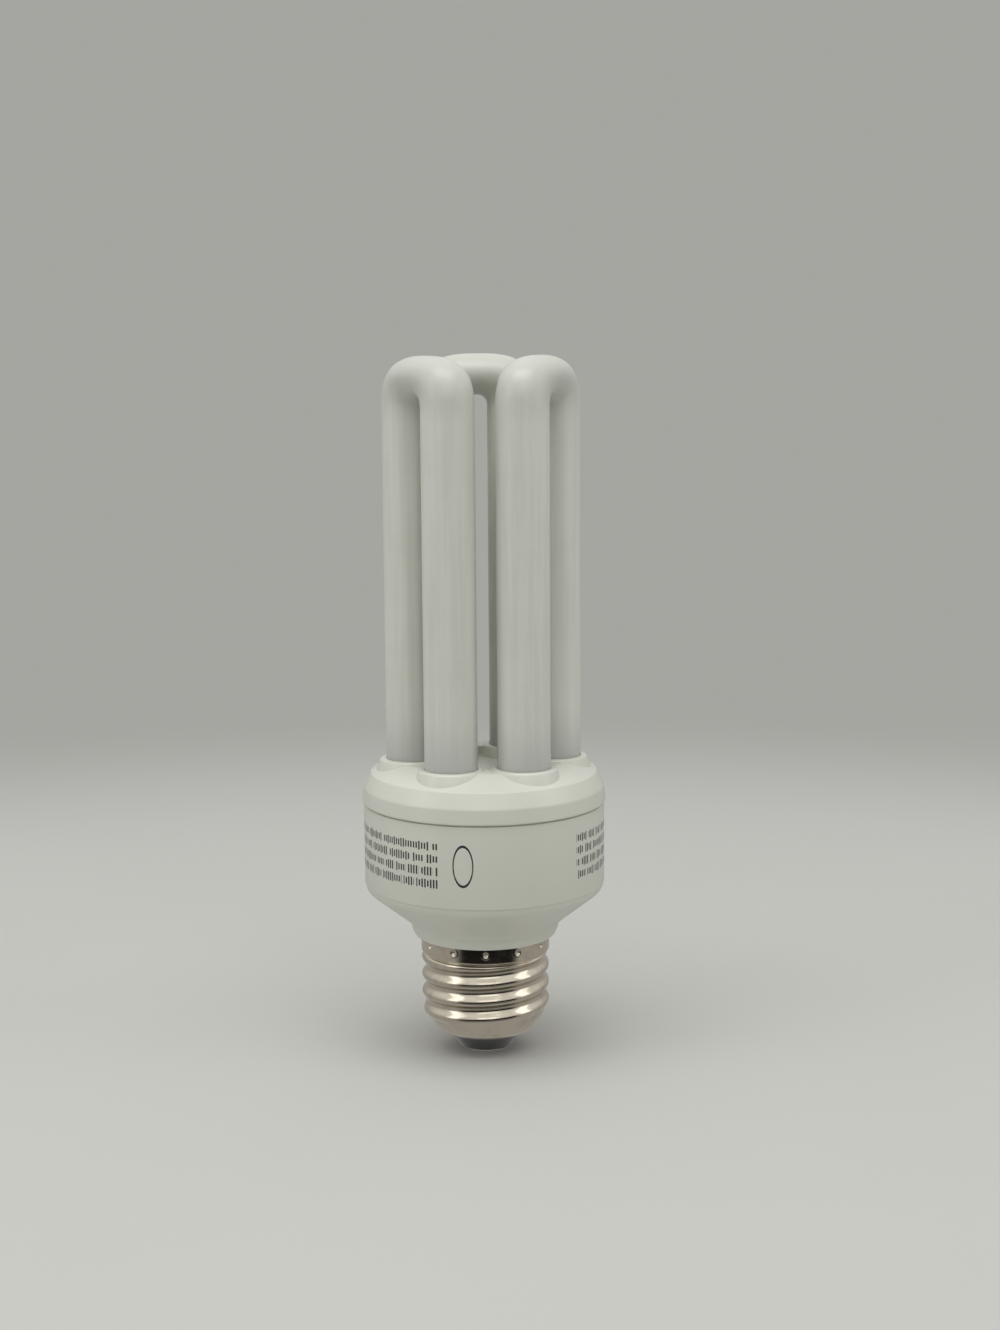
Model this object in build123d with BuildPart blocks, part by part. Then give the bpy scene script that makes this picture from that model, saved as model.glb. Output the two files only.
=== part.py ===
# Compact fluorescent lamp with three U-bent tubes, a two-piece plastic housing and a screw cap.
# Millimetres, +Z from the cap towards the tubes, origin in the middle of the cap's contact face.
from build123d import *
from math import cos, pi, radians, sin, sqrt
import os

os.makedirs("parts", exist_ok=True)

# Small clearance between pieces that are pushed or cemented together
fit = 0.1

# Screw cap: shell with a rolled round thread, seven turns to the inch
cap_height = 24.4
thread_crest_radius = 13.1
thread_root_radius = 12.25
thread_pitch = 25.4 / 7
thread_round = 1.0
thread_start_angle = -150
thread_start = 8.83
run_out_angle = 40
run_out_share = 0.15
run_out_sink = 0.3
shell_wall = 0.45
collar_radius = 13.2
collar_top_radius = 12.98
collar_height = 3.3
collar_step = 0.5
collar_round = 0.4
taper_top = 8.4
taper_knee_radius = 10.45
taper_knee = 4.9
taper_round = 2.5
taper_end_round = 1.5
shell_mouth_radius = 7.95
shell_mouth = 3.6
stake_count = 12
stake_drop = 1.4
stake_radius = 0.7
stake_depth = 0.4
stake_angle = -93.1

# Insulator and contact at the end of the cap
insulator_end_radius = 5.3
insulator_end = 0.5
insulator_inner_height = 3.3
insulator_end_round = 0.5
insulator_seat_round = 0.6
insulator_top_round = 1.0
contact_radius = 4.8
contact_thickness = 0.9
contact_hole_radius = 0.9
contact_round = 0.3
solder_start = 0.1
solder_height = 1.6

# Lower housing
wall = 1.6
spigot_length = 8.5
spigot_wall = 1.5
spigot_round = 0.4
spigot_mouth_round = 1.0
neck_radius = 15.1
neck_lip_radius = 14.4
neck_round_height = 1.5
neck_height = 2.6
neck_lip_round = 0.3
neck_round = 1.5
neck_corner_round = 0.8
body_radius = 24.5
body_step = 0.2
body_edge_round = 0.15
bowl_height = 7.3
bowl_band = 1.2
bowl_round = 2.0
body_height = 16.6
lip_height = 2.1
lip_wall = 0.8

# Upper cover with the platform that the tubes stand in
rim_reach = 0.25
rim_height = 0.7
rim_round = 0.3
crown_inset = 0.05
crown_height = 3.3
crown_round = 1.8
step_inset = 1.55
step_height = 6.4
step_depth = 0.3
step_round = 0.3
platform_inset = 7.5
platform_rise = 8.95
platform_round = 1.5
socket_wall = 1.25
socket_foot_wall = 2.15
socket_lip = 0.25
socket_drop = 2.6
roof_drop = 3.4
roof_inset = 3.5
roof_round = 1.0
recess_radius = 11.5
recess_depth = 1.9

# Arc tube: three U-bends whose six legs stand on one circle
leg_count = 6
leg_radius = 5.27
leg_circle_radius = 14.5
foot_drop = 1.9
leg_foot_round = 2.4
tube_rise = 90.05
bend_thickness = 8.35
bend_squareness = 2.8
bend_sections = 5
bend_points = 8
tube_angle = 90
bridge_angles = (30, 270)
bridge_radius = 2.0
bridge_rise = 3.6
cement_thickness = 1.5
cement_shoulder = 1.0

# Circuit board, seated on ribs of the lower housing
board_gap = 0.3
board_thickness = 1.6
board_drop = 7.9
rib_count = 6
rib_angle = 30
rib_width = 1.4
rib_depth = 2.2
rib_embed = 0.3
standoff = 0.3
lead_radius = 0.35
lead_stub = 0.9

# Electronic components, hanging from the board towards the cap
capacitor_radius = 5.0
capacitor_length = 19.0
capacitor_groove_drop = 2.2
capacitor_groove_radius = 0.6
capacitor_round = 0.6
core_width = 13.0
core_depth = 6.0
core_height = 12.0
core_leg = 2.0
core_middle_leg = 3.6
winding_depth = 1.9
winding_inset = 0.4
winding_round = 1.2
bobbin_wall = 0.6
choke_x = 10.8
toroid_radius = 4.8
toroid_bore_radius = 2.6
toroid_height = 4.5
coil_count = 3
coil_turns = 2
coil_turn_angle = 24
coil_wire = 0.5
toroid_place = (-11.5, 9.0)
film_names = ("starting_capacitor", "filter_capacitor")
film_places = ((-11.8, -2.4), (-1.5, -12.6))
film_sizes = ((11.0, 4.6, 9.0), (9.0, 4.0, 8.0))
film_lead_inset = 1.5
film_side_round = 1.2
film_end_round = 0.8
transistor_places = ((8.6, -12.4), (14.2, -9.6))
transistor_radius = 2.4
transistor_height = 4.8
transistor_flat = 1.3
transistor_pitch = 1.27
diode_radius = 1.35
diode_length = 5.0
diode_rows = 4
diode_row_start = 8.2
diode_row_step = 3.3
resistor_radius = 1.15
resistor_length = 6.3
resistor_rows = 3
resistor_x = 10.8
resistor_row_start = 9.4
resistor_row_step = 2.9
axial_lead_reach = 1.3
fuse_radius = 1.7
fuse_length = 9.0
fuse_bottom = 11.0
fuse_round = 0.4
fuse_lead_embed = 1.0
wire_radius = 0.3
wire_bend = 1.2
filament_bend = 0.8
wire_circle_radius = 7.8
wire_angles = (-54, 161)
shell_lead_drop = 1.0
foot_share = 0.3
turn_share = 0.5
pin_size = 0.8
pin_places = ((-20.6, 2.3), (-20.6, -2.3), (-12.3, 16.7), (-8.3, 19.0))

# Values that follow from the sizes above
shell_bore_radius = thread_root_radius - shell_wall
bead_radius = thread_root_radius - shell_wall / 2
thread_height = cap_height - collar_height - thread_start
stake_circle_radius = collar_radius + stake_radius - stake_depth
spigot_radius = shell_bore_radius - fit
spigot_bore_radius = spigot_radius - spigot_wall
bowl_radius = body_radius - body_step
neck_top = cap_height + neck_height
bowl_corner = neck_top + bowl_height
body_bottom = bowl_corner + bowl_band
seam_height = body_bottom + body_height
bowl_slope = bowl_height / (bowl_radius - neck_radius)
inner_radius = body_radius - wall
lip_top = seam_height + lip_height
rim_radius = body_radius + rim_reach
crown_radius = body_radius - crown_inset
step_radius = body_radius - step_inset
platform_radius = body_radius - platform_inset
platform_height = seam_height + platform_rise
socket_radius = leg_radius + socket_wall
socket_foot_radius = leg_radius + socket_foot_wall
socket_top = platform_height + socket_lip
roof_height = platform_height - roof_drop
roof_radius = body_radius - roof_inset
leg_foot = seam_height - foot_drop
tube_top = seam_height + tube_rise
bridge_height = leg_foot + bridge_rise
board_radius = inner_radius - board_gap
board_bottom = seam_height - board_drop
board_top = board_bottom + board_thickness
lead_turn_height = board_top + (leg_foot - board_top) * turn_share
component_top = board_bottom - standoff
half_step = 180 / leg_count
leg_pitch = 2 * leg_circle_radius * sin(radians(half_step))
leg_gap = leg_pitch / 2 - leg_radius
crotch_center = tube_top - bend_thickness - leg_gap
electrode_angles = (120, 180)
cement_bottom = roof_height - cement_thickness


def on_circle(radius, angle, height=0.0):
    return (radius * cos(radians(angle)), radius * sin(radians(angle)), height)


# Height of the bowl's inner face at a radius
def bowl_floor(radius):
    return neck_top + (radius - neck_radius) * bowl_slope + wall * sqrt(1 + bowl_slope**2)


# One U-bend: two straight legs and a bend whose section flattens towards the middle
def bend_section(turn):
    across, up = cos(radians(turn)), sin(radians(turn))
    half_width = leg_pitch / 2 + leg_radius
    height = leg_gap + bend_thickness
    share = abs(across / half_width) ** bend_squareness + (up / height) ** bend_squareness
    outer = share ** (-1 / bend_squareness)
    middle = (leg_gap + outer) / 2
    plane = Plane(
        origin=(0, -across * middle, crotch_center + up * middle),
        x_dir=(1, 0, 0),
        z_dir=(0, up, across),
    )
    return plane, (outer - leg_gap) / 2


with BuildPart() as u_tube:
    for step in range(bend_sections):
        section_plane, half_thickness = bend_section(180 * step / (bend_sections - 1))
        with BuildSketch(section_plane):
            with BuildLine():
                Spline(
                    *[
                        (leg_radius * cos(radians(turn)), half_thickness * sin(radians(turn)))
                        for turn in range(0, 360, 360 // bend_points)
                    ],
                    periodic=True,
                )
            make_face()
    loft()
    extrude(u_tube.faces().filter_by(Plane.XY), amount=crotch_center - leg_foot)
    fillet(u_tube.edges().group_by(Axis.Z)[0], leg_foot_round)

with BuildPart() as arc_tube:
    with PolarLocations(leg_circle_radius * cos(radians(half_step)), leg_count // 2, start_angle=tube_angle):
        add(u_tube.part)
    for bridge_angle in bridge_angles:
        bridge_start = Vector(*on_circle(leg_circle_radius, bridge_angle - half_step, bridge_height))
        bridge_end = Vector(*on_circle(leg_circle_radius, bridge_angle + half_step, bridge_height))
        with BuildSketch(Plane(origin=bridge_start, z_dir=bridge_end - bridge_start)):
            Circle(bridge_radius)
        extrude(amount=(bridge_end - bridge_start).length)
arc_tube.part.label = "arc_tube"
export_step(arc_tube.part, "parts/arc_tube.step")

# Upper cover: rim, stepped shoulder and platform with six leg sockets round a sunk middle
with BuildPart() as tube_cover:
    with BuildSketch(Plane.XZ):
        with BuildLine():
            FilletPolyline(
                (0, roof_height),
                (roof_radius, roof_height),
                (inner_radius + fit, lip_top + fit + wall),
                (inner_radius + lip_wall + fit, lip_top + fit),
                (inner_radius + lip_wall + fit, seam_height),
                (rim_radius, seam_height),
                (rim_radius, seam_height + rim_height),
                (crown_radius, seam_height + crown_height),
                (step_radius, seam_height + step_height),
                (step_radius - step_depth, seam_height + step_height),
                (platform_radius, platform_height),
                (0, platform_height),
                radius=(0, roof_round, 0, 0, 0, 0, rim_round, crown_round, step_round, 0, platform_round, 0),
                close=True,
            )
        make_face()
    revolve(axis=Axis.Z)
    with Locations(Plane.XY.offset(socket_top)):
        with PolarLocations(leg_circle_radius, leg_count):
            Cone(
                bottom_radius=socket_foot_radius,
                top_radius=socket_radius,
                height=socket_drop,
                align=(Align.CENTER, Align.CENTER, Align.MAX),
            )
    with BuildSketch(Plane.XY.offset(platform_height - recess_depth)):
        Circle(recess_radius)
    extrude(amount=socket_top - platform_height + recess_depth, mode=Mode.SUBTRACT)
    with BuildSketch(Plane.XY.offset(roof_height)):
        with PolarLocations(leg_circle_radius, leg_count):
            Circle(leg_radius + fit)
    extrude(amount=socket_top - roof_height, mode=Mode.SUBTRACT)
tube_cover.part.label = "tube_cover"
export_step(tube_cover.part, "parts/tube_cover.step")

# Cement that holds the feet of the tubes under the cover's roof
with BuildPart() as tube_cement:
    with BuildSketch(Plane.XY.offset(cement_bottom)):
        Circle(leg_circle_radius + leg_radius - cement_shoulder)
        with PolarLocations(leg_circle_radius, leg_count):
            Circle(leg_radius + fit, mode=Mode.SUBTRACT)
        Circle(leg_circle_radius - leg_radius - cement_shoulder, mode=Mode.SUBTRACT)
    extrude(amount=cement_thickness)
tube_cement.part.label = "tube_cement"
export_step(tube_cement.part, "parts/tube_cement.step")

# Lower housing: body, bowl and neck in one moulding, with a spigot inside the cap and board ribs
with BuildPart() as ballast_housing:
    with BuildSketch(Plane.XZ):
        with BuildLine():
            FilletPolyline(
                (spigot_bore_radius, cap_height - spigot_length),
                (spigot_radius, cap_height - spigot_length),
                (spigot_radius, cap_height),
                (neck_lip_radius, cap_height),
                (neck_radius, cap_height + neck_round_height),
                (neck_radius, neck_top),
                (bowl_radius, bowl_corner),
                (bowl_radius, body_bottom),
                (body_radius, body_bottom),
                (body_radius, seam_height),
                (inner_radius + lip_wall, seam_height),
                (inner_radius + lip_wall, lip_top),
                (inner_radius, lip_top),
                (inner_radius, bowl_floor(inner_radius)),
                (spigot_bore_radius, bowl_floor(spigot_bore_radius)),
                radius=(
                    *(0, spigot_round, 0, neck_lip_round, neck_round, neck_corner_round, bowl_round),
                    *(0, body_edge_round, 0, 0, 0, 0, bowl_round, spigot_mouth_round),
                ),
                close=True,
            )
        make_face()
    revolve(axis=Axis.Z)
    with BuildSketch(Plane.XY.offset(board_bottom)):
        with PolarLocations(inner_radius + (rib_embed - rib_depth) / 2, rib_count, start_angle=rib_angle):
            Rectangle(rib_depth + rib_embed, rib_width)
    extrude(amount=bowl_floor(inner_radius - rib_depth) - board_bottom)
ballast_housing.part.label = "ballast_housing"
export_step(ballast_housing.part, "parts/ballast_housing.step")

# Lens-shaped section of the thread's bead, its size a share of the full one
def bead_section(plane, share):
    with BuildSketch(plane, mode=Mode.PRIVATE) as section:
        with BuildLine():
            ThreePointArc(
                (0, -thread_round * share),
                ((thread_crest_radius - bead_radius) * share, 0),
                (0, thread_round * share),
            )
            Line((0, thread_round * share), (0, -thread_round * share))
        make_face()
    return section.sketch


# Screw shell: the round thread is a helical bead that starts with a short run-out
thread_slope = thread_pitch / (2 * pi * bead_radius)
with BuildPart() as thread_bead:
    with BuildLine(Plane.XY.offset(thread_start)):
        bead_path = Helix(pitch=thread_pitch, height=thread_height, radius=bead_radius)
    add(bead_section(Plane(bead_path @ 0, x_dir=(1, 0, 0), z_dir=bead_path % 0), 1))
    sweep(is_frenet=True)

with BuildPart() as thread_run_out:
    for share in (1, run_out_share):
        angle = -run_out_angle * (1 - share) / (1 - run_out_share)
        section_radius = bead_radius - run_out_sink * (1 - share)
        section_plane = Plane(
            origin=on_circle(section_radius, angle, thread_start + thread_pitch * angle / 360),
            x_dir=on_circle(1, angle),
            z_dir=(-sin(radians(angle)), cos(radians(angle)), thread_slope),
        )
        add(bead_section(section_plane, share))
    loft()

with BuildPart() as screw_shell:
    with BuildSketch(Plane.XZ):
        with BuildLine():
            FilletPolyline(
                (shell_mouth_radius - shell_wall, shell_mouth),
                (shell_mouth_radius, shell_mouth),
                (taper_knee_radius, taper_knee),
                (thread_root_radius, taper_top),
                (thread_root_radius, cap_height - collar_height - collar_step),
                (collar_radius, cap_height - collar_height),
                (collar_top_radius, cap_height),
                (shell_bore_radius, cap_height),
                (shell_bore_radius, taper_top),
                (taper_knee_radius - shell_wall, taper_knee + shell_wall),
                radius=(
                    *(0, 0, taper_round, taper_end_round, collar_round, collar_round),
                    *(0, 0, taper_end_round, taper_round - shell_wall),
                ),
                close=True,
            )
        make_face()
    revolve(axis=Axis.Z)
    add(thread_bead.part, rotation=(0, 0, thread_start_angle))
    add(thread_run_out.part, rotation=(0, 0, thread_start_angle))
    with Locations(Plane.XY.offset(cap_height - stake_drop)):
        with PolarLocations(stake_circle_radius, stake_count, start_angle=stake_angle):
            Sphere(stake_radius, mode=Mode.SUBTRACT)
screw_shell.part.label = "screw_shell"
export_step(screw_shell.part, "parts/screw_shell.step")

# Glass insulator in the mouth of the shell, with a hole for the lead to the contact
with BuildPart() as cap_insulator:
    with BuildSketch(Plane.XZ):
        with BuildLine():
            FilletPolyline(
                (contact_hole_radius, insulator_end),
                (insulator_end_radius, insulator_end),
                (shell_mouth_radius - shell_wall - fit, shell_mouth),
                (taper_knee_radius - shell_wall - fit, taper_knee + shell_wall + fit),
                (taper_knee_radius - shell_wall - fit, shell_mouth + insulator_inner_height),
                (contact_hole_radius, shell_mouth + insulator_inner_height),
                radius=(0, insulator_end_round, 0, insulator_seat_round, insulator_top_round, 0),
                close=True,
            )
        make_face()
    revolve(axis=Axis.Z)
    with BuildSketch(Plane.XY.offset(insulator_end)):
        Circle(contact_radius + fit)
    extrude(amount=contact_thickness - insulator_end, mode=Mode.SUBTRACT)
cap_insulator.part.label = "cap_insulator"
export_step(cap_insulator.part, "parts/cap_insulator.step")

# Contact disc, set into the end of the insulator
with BuildPart() as centre_contact:
    with BuildSketch():
        Circle(contact_radius)
        Circle(contact_hole_radius, mode=Mode.SUBTRACT)
    extrude(amount=contact_thickness)
    fillet(centre_contact.edges().group_by(Axis.Z)[0].sort_by(SortBy.RADIUS)[-1:], contact_round)
centre_contact.part.label = "centre_contact"
export_step(centre_contact.part, "parts/centre_contact.step")

# Solder drop that closes the contact's hole, round the end of the centre lead
with BuildPart() as contact_solder:
    with BuildSketch(Plane.XY.offset(solder_start)):
        Circle(contact_hole_radius - fit / 2)
        Circle(wire_radius + fit / 2, mode=Mode.SUBTRACT)
    extrude(amount=solder_height)
contact_solder.part.label = "contact_solder"
export_step(contact_solder.part, "parts/contact_solder.step")


# Where each component's leads pass the board, as seen from above
capacitor_leads = ((-2.5, 0), (2.5, 0))
film_leads = [
    (x + side * (size[0] / 2 - film_lead_inset), y)
    for (x, y), size in zip(film_places, film_sizes)
    for side in (-1, 1)
]
transistor_leads = [
    (x + step * transistor_pitch, y) for x, y in transistor_places for step in (-1, 0, 1)
]
diode_leads = [
    (side * (diode_length / 2 + axial_lead_reach), diode_row_start + row * diode_row_step)
    for row in range(diode_rows)
    for side in (-1, 1)
]
resistor_reach = resistor_length / 2 + axial_lead_reach
resistor_leads = [
    (resistor_x + side * resistor_reach, resistor_row_start + row * resistor_row_step)
    for row in range(resistor_rows)
    for side in (-1, 1)
]
wire_leads = [on_circle(wire_circle_radius, angle)[:2] for angle in wire_angles]
round_holes = [*capacitor_leads, *film_leads, *transistor_leads, *diode_leads, *resistor_leads, *wire_leads]


# Straight lead from a component's top face up through the board
def lead(x, y, start):
    with BuildPart(mode=Mode.PRIVATE) as wire:
        with BuildSketch(Plane.XY.offset(start)):
            with Locations((x, y)):
                Circle(lead_radius)
        extrude(amount=board_top + lead_stub - start)
    return wire.part


# Round board on the housing's ribs, with a hole for each lead and pin
with BuildPart() as circuit_board:
    with BuildSketch(Plane.XY.offset(board_bottom)):
        Circle(board_radius)
        for x, y in round_holes:
            with Locations((x, y)):
                Circle(lead_radius + fit, mode=Mode.SUBTRACT)
        for x, y in pin_places:
            with Locations((x, y)):
                Rectangle(pin_size + 2 * fit, pin_size + 2 * fit, mode=Mode.SUBTRACT)
    extrude(amount=board_thickness)
circuit_board.part.label = "circuit_board"
export_step(circuit_board.part, "parts/circuit_board.step")

# Smoothing capacitor, its can reaching down into the neck
with BuildPart() as electrolytic_capacitor:
    with BuildSketch(Plane.XY.offset(component_top - capacitor_length)):
        Circle(capacitor_radius)
    extrude(amount=capacitor_length)
    fillet(electrolytic_capacitor.edges().group_by(Axis.Z)[0], capacitor_round)
    with BuildSketch(Plane.XZ):
        with Locations((capacitor_radius, component_top - capacitor_groove_drop)):
            Circle(capacitor_groove_radius)
    revolve(axis=Axis.Z, mode=Mode.SUBTRACT)
    for x, y in capacitor_leads:
        add(lead(x, y, component_top))
electrolytic_capacitor.part.label = "electrolytic_capacitor"
export_step(electrolytic_capacitor.part, "parts/electrolytic_capacitor.step")

# Lamp choke: two E-shaped ferrite halves round a bobbin and its winding
core_plane = Plane.YZ.offset(choke_x - core_depth / 2)
core_middle = component_top - bobbin_wall - core_height / 2
window_width = (core_width - 2 * core_leg - core_middle_leg) / 2
window_height = core_height - 2 * core_leg
with BuildPart() as choke_core:
    with BuildSketch(core_plane):
        with Locations((0, core_middle)):
            Rectangle(core_width, core_height)
            with Locations(
                (-(core_middle_leg + window_width) / 2, 0),
                ((core_middle_leg + window_width) / 2, 0),
            ):
                Rectangle(window_width, window_height, mode=Mode.SUBTRACT)
    extrude(amount=core_depth)
choke_core.part.label = "choke_core"
export_step(choke_core.part, "parts/choke_core.step")

# Bobbin: a square tube on the core's middle leg between two flanges
with BuildPart() as choke_bobbin:
    with BuildSketch(Plane.XY.offset(core_middle - window_height / 2 + fit)):
        with Locations((choke_x, 0)):
            Rectangle(core_depth + 2 * (bobbin_wall + fit), core_middle_leg + 2 * (bobbin_wall + fit))
            Rectangle(core_depth + 2 * fit, core_middle_leg + 2 * fit, mode=Mode.SUBTRACT)
    extrude(amount=window_height - 2 * fit)
    flange_offset = (window_height - bobbin_wall) / 2 - fit
    for flange_middle in (core_middle - flange_offset, core_middle + flange_offset):
        with BuildSketch(Plane.XY.offset(flange_middle - bobbin_wall / 2)):
            with Locations((choke_x, 0)):
                Rectangle(core_depth + 2 * winding_depth, core_middle_leg + 2 * (window_width - fit))
                Rectangle(core_depth + 2 * fit, core_middle_leg + 2 * fit, mode=Mode.SUBTRACT)
        extrude(amount=bobbin_wall)
choke_bobbin.part.label = "choke_bobbin"
export_step(choke_bobbin.part, "parts/choke_bobbin.step")

# Copper winding, filling the bobbin between its flanges
with BuildPart() as choke_winding:
    with BuildSketch(Plane.XY.offset(core_middle - window_height / 2 + bobbin_wall + 2 * fit)):
        with Locations((choke_x, 0)):
            RectangleRounded(
                core_depth + 2 * (winding_depth - winding_inset),
                core_middle_leg + 2 * (window_width - winding_inset),
                winding_round,
            )
            Rectangle(
                core_depth + 2 * (bobbin_wall + 2 * fit),
                core_middle_leg + 2 * (bobbin_wall + 2 * fit),
                mode=Mode.SUBTRACT,
            )
    extrude(amount=window_height - 2 * bobbin_wall - 4 * fit)
choke_winding.part.label = "choke_winding"
export_step(choke_winding.part, "parts/choke_winding.step")

# Drive transformer: a ferrite ring with three short windings
with BuildPart() as drive_toroid:
    with BuildSketch(Plane.XY.offset(component_top - toroid_height - coil_wire)):
        with Locations(toroid_place):
            Circle(toroid_radius)
            Circle(toroid_bore_radius, mode=Mode.SUBTRACT)
    extrude(amount=toroid_height)
drive_toroid.part.label = "drive_toroid"
export_step(drive_toroid.part, "parts/drive_toroid.step")

ring_width = toroid_radius - toroid_bore_radius
ring_middle = (toroid_radius + toroid_bore_radius) / 2
with BuildPart() as toroid_coils:
    for coil in range(coil_count):
        for turn in range(coil_turns):
            angle = coil * 360 / coil_count + (turn - (coil_turns - 1) / 2) * coil_turn_angle
            turn_plane = Plane(
                origin=(
                    toroid_place[0] + ring_middle * cos(radians(angle)),
                    toroid_place[1] + ring_middle * sin(radians(angle)),
                    component_top - coil_wire - toroid_height / 2,
                ),
                x_dir=(cos(radians(angle)), sin(radians(angle)), 0),
                z_dir=(-sin(radians(angle)), cos(radians(angle)), 0),
            )
            with BuildSketch(turn_plane):
                Rectangle(ring_width + 2 * coil_wire, toroid_height + 2 * coil_wire - fit)
                Rectangle(ring_width + fit, toroid_height + fit, mode=Mode.SUBTRACT)
            extrude(amount=coil_wire / 2, both=True)
toroid_coils.part.label = "toroid_coils"
export_step(toroid_coils.part, "parts/toroid_coils.step")

# Film capacitors: the starting capacitor of the tube and the filter of the supply
for name, (x, y), (length, depth, height) in zip(film_names, film_places, film_sizes):
    with BuildPart() as film_capacitor:
        with BuildSketch(Plane.XY.offset(component_top - height)):
            with Locations((x, y)):
                RectangleRounded(length, depth, film_side_round)
        extrude(amount=height)
        fillet(film_capacitor.edges().group_by(Axis.Z)[0], film_end_round)
        for side in (-1, 1):
            add(lead(x + side * (length / 2 - film_lead_inset), y, component_top))
    film_capacitor.part.label = name
    export_step(film_capacitor.part, f"parts/{name}.step")

# Two power transistors with a flat face and three leads each
with BuildPart() as power_transistors:
    for x, y in transistor_places:
        with BuildSketch(Plane.XY.offset(component_top - transistor_height)):
            with Locations((x, y)):
                Circle(transistor_radius)
            with Locations((x, y - transistor_radius - transistor_flat + transistor_flat / 2)):
                Rectangle(3 * transistor_radius, 2 * transistor_flat, mode=Mode.SUBTRACT)
        extrude(amount=transistor_height)
        for step in (-1, 0, 1):
            add(lead(x + step * transistor_pitch, y, component_top))
power_transistors.part.label = "power_transistors"
export_step(power_transistors.part, "parts/power_transistors.step")


# Axial component: a round body under the board, with both leads turned up through it
def axial_component(x, y, radius, length):
    center_height = component_top - radius
    reach = length / 2 + axial_lead_reach
    with BuildPart(mode=Mode.PRIVATE) as component:
        with BuildSketch(Plane.YZ.offset(x - length / 2)):
            with Locations((y, center_height)):
                Circle(radius)
        extrude(amount=length)
        with BuildLine():
            FilletPolyline(
                (x - reach, y, board_top + lead_stub),
                (x - reach, y, center_height),
                (x + reach, y, center_height),
                (x + reach, y, board_top + lead_stub),
                radius=2 * lead_radius,
            )
        with BuildSketch(Plane.XY.offset(board_top + lead_stub)):
            with Locations((x - reach, y)):
                Circle(lead_radius)
        sweep()
    return component.part


with BuildPart() as rectifier_diodes:
    for row in range(diode_rows):
        add(axial_component(0, diode_row_start + row * diode_row_step, diode_radius, diode_length))
rectifier_diodes.part.label = "rectifier_diodes"
export_step(rectifier_diodes.part, "parts/rectifier_diodes.step")

with BuildPart() as resistors:
    for row in range(resistor_rows):
        row_y = resistor_row_start + row * resistor_row_step
        add(axial_component(resistor_x, row_y, resistor_radius, resistor_length))
resistors.part.label = "resistors"
export_step(resistors.part, "parts/resistors.step")

# Fusible resistor in the supply lead, standing in the cap under the capacitor
fuse_top = fuse_bottom + fuse_length
bend_height = (fuse_top + component_top - capacitor_length) / 2
with BuildPart() as fuse_resistor:
    with BuildSketch(Plane.XY.offset(fuse_bottom)):
        Circle(fuse_radius)
    extrude(amount=fuse_length)
    fillet(fuse_resistor.edges().filter_by(GeomType.CIRCLE), fuse_round)
    with BuildLine():
        FilletPolyline(
            (0, 0, fuse_top - fuse_lead_embed),
            (0, 0, bend_height),
            (*wire_leads[0], bend_height),
            (*wire_leads[0], board_top + lead_stub),
            radius=wire_bend,
        )
    with BuildSketch(Plane.XY.offset(fuse_top - fuse_lead_embed)):
        Circle(wire_radius)
    sweep()
fuse_resistor.part.label = "fuse_resistor"
export_step(fuse_resistor.part, "parts/fuse_resistor.step")

# Lead from the fusible resistor through the insulator to the solder on the contact
with BuildPart() as centre_lead:
    with BuildSketch(Plane.XY.offset(solder_start)):
        Circle(wire_radius)
    extrude(amount=fuse_bottom - solder_start)
centre_lead.part.label = "centre_lead"
export_step(centre_lead.part, "parts/centre_lead.step")

# Lead from the board down past the spigot's end to the shell's wall
shell_lead_height = cap_height - spigot_length - shell_lead_drop
out = Vector(*wire_leads[1], 0).normalized()
with BuildPart() as shell_lead:
    with BuildLine():
        FilletPolyline(
            (*wire_leads[1], board_top + lead_stub),
            (*wire_leads[1], shell_lead_height),
            out * (shell_bore_radius - fit) + Vector(0, 0, shell_lead_height),
            radius=wire_bend,
        )
    with BuildSketch(Plane.XY.offset(board_top + lead_stub)):
        with Locations(wire_leads[1]):
            Circle(wire_radius)
    sweep()
shell_lead.part.label = "shell_lead"
export_step(shell_lead.part, "parts/shell_lead.step")

# Square pins that the tube's leads are wound on
with BuildPart() as wrap_pins:
    for x, y in pin_places:
        with BuildSketch(Plane.XY.offset(board_bottom - lead_stub)):
            with Locations((x, y)):
                Rectangle(pin_size, pin_size)
        extrude(amount=leg_foot + lead_stub - (board_bottom - lead_stub))
wrap_pins.part.label = "wrap_pins"
export_step(wrap_pins.part, "parts/wrap_pins.step")

# Leads of the two electrodes, each from a foot of the tube to its pin
with BuildPart() as filament_leads:
    for electrode, angle in enumerate(electrode_angles[::-1]):
        foot = Vector(*on_circle(leg_circle_radius, angle))
        for end in (0, 1):
            pin = Vector(*pin_places[2 * electrode + end], 0)
            start = foot + (pin - foot) * foot_share
            stop = foot + (pin - foot) * (1 - pin_size / (pin - foot).length)
            with BuildLine():
                FilletPolyline(
                    start + Vector(0, 0, leg_foot),
                    start + Vector(0, 0, lead_turn_height),
                    stop + Vector(0, 0, lead_turn_height),
                    radius=filament_bend,
                )
            with BuildSketch(Plane(origin=start + Vector(0, 0, leg_foot), z_dir=(0, 0, -1))):
                Circle(wire_radius)
            sweep()
filament_leads.part.label = "filament_leads"
export_step(filament_leads.part, "parts/filament_leads.step")
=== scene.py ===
"""Compact fluorescent lamp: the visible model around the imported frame.

Sizes in the classes below are in millimetres, in the frame of the CAD: +Z from the screw cap
towards the tubes, with the cap's contact face at zero. Meshes are written in metres.
"""

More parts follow.
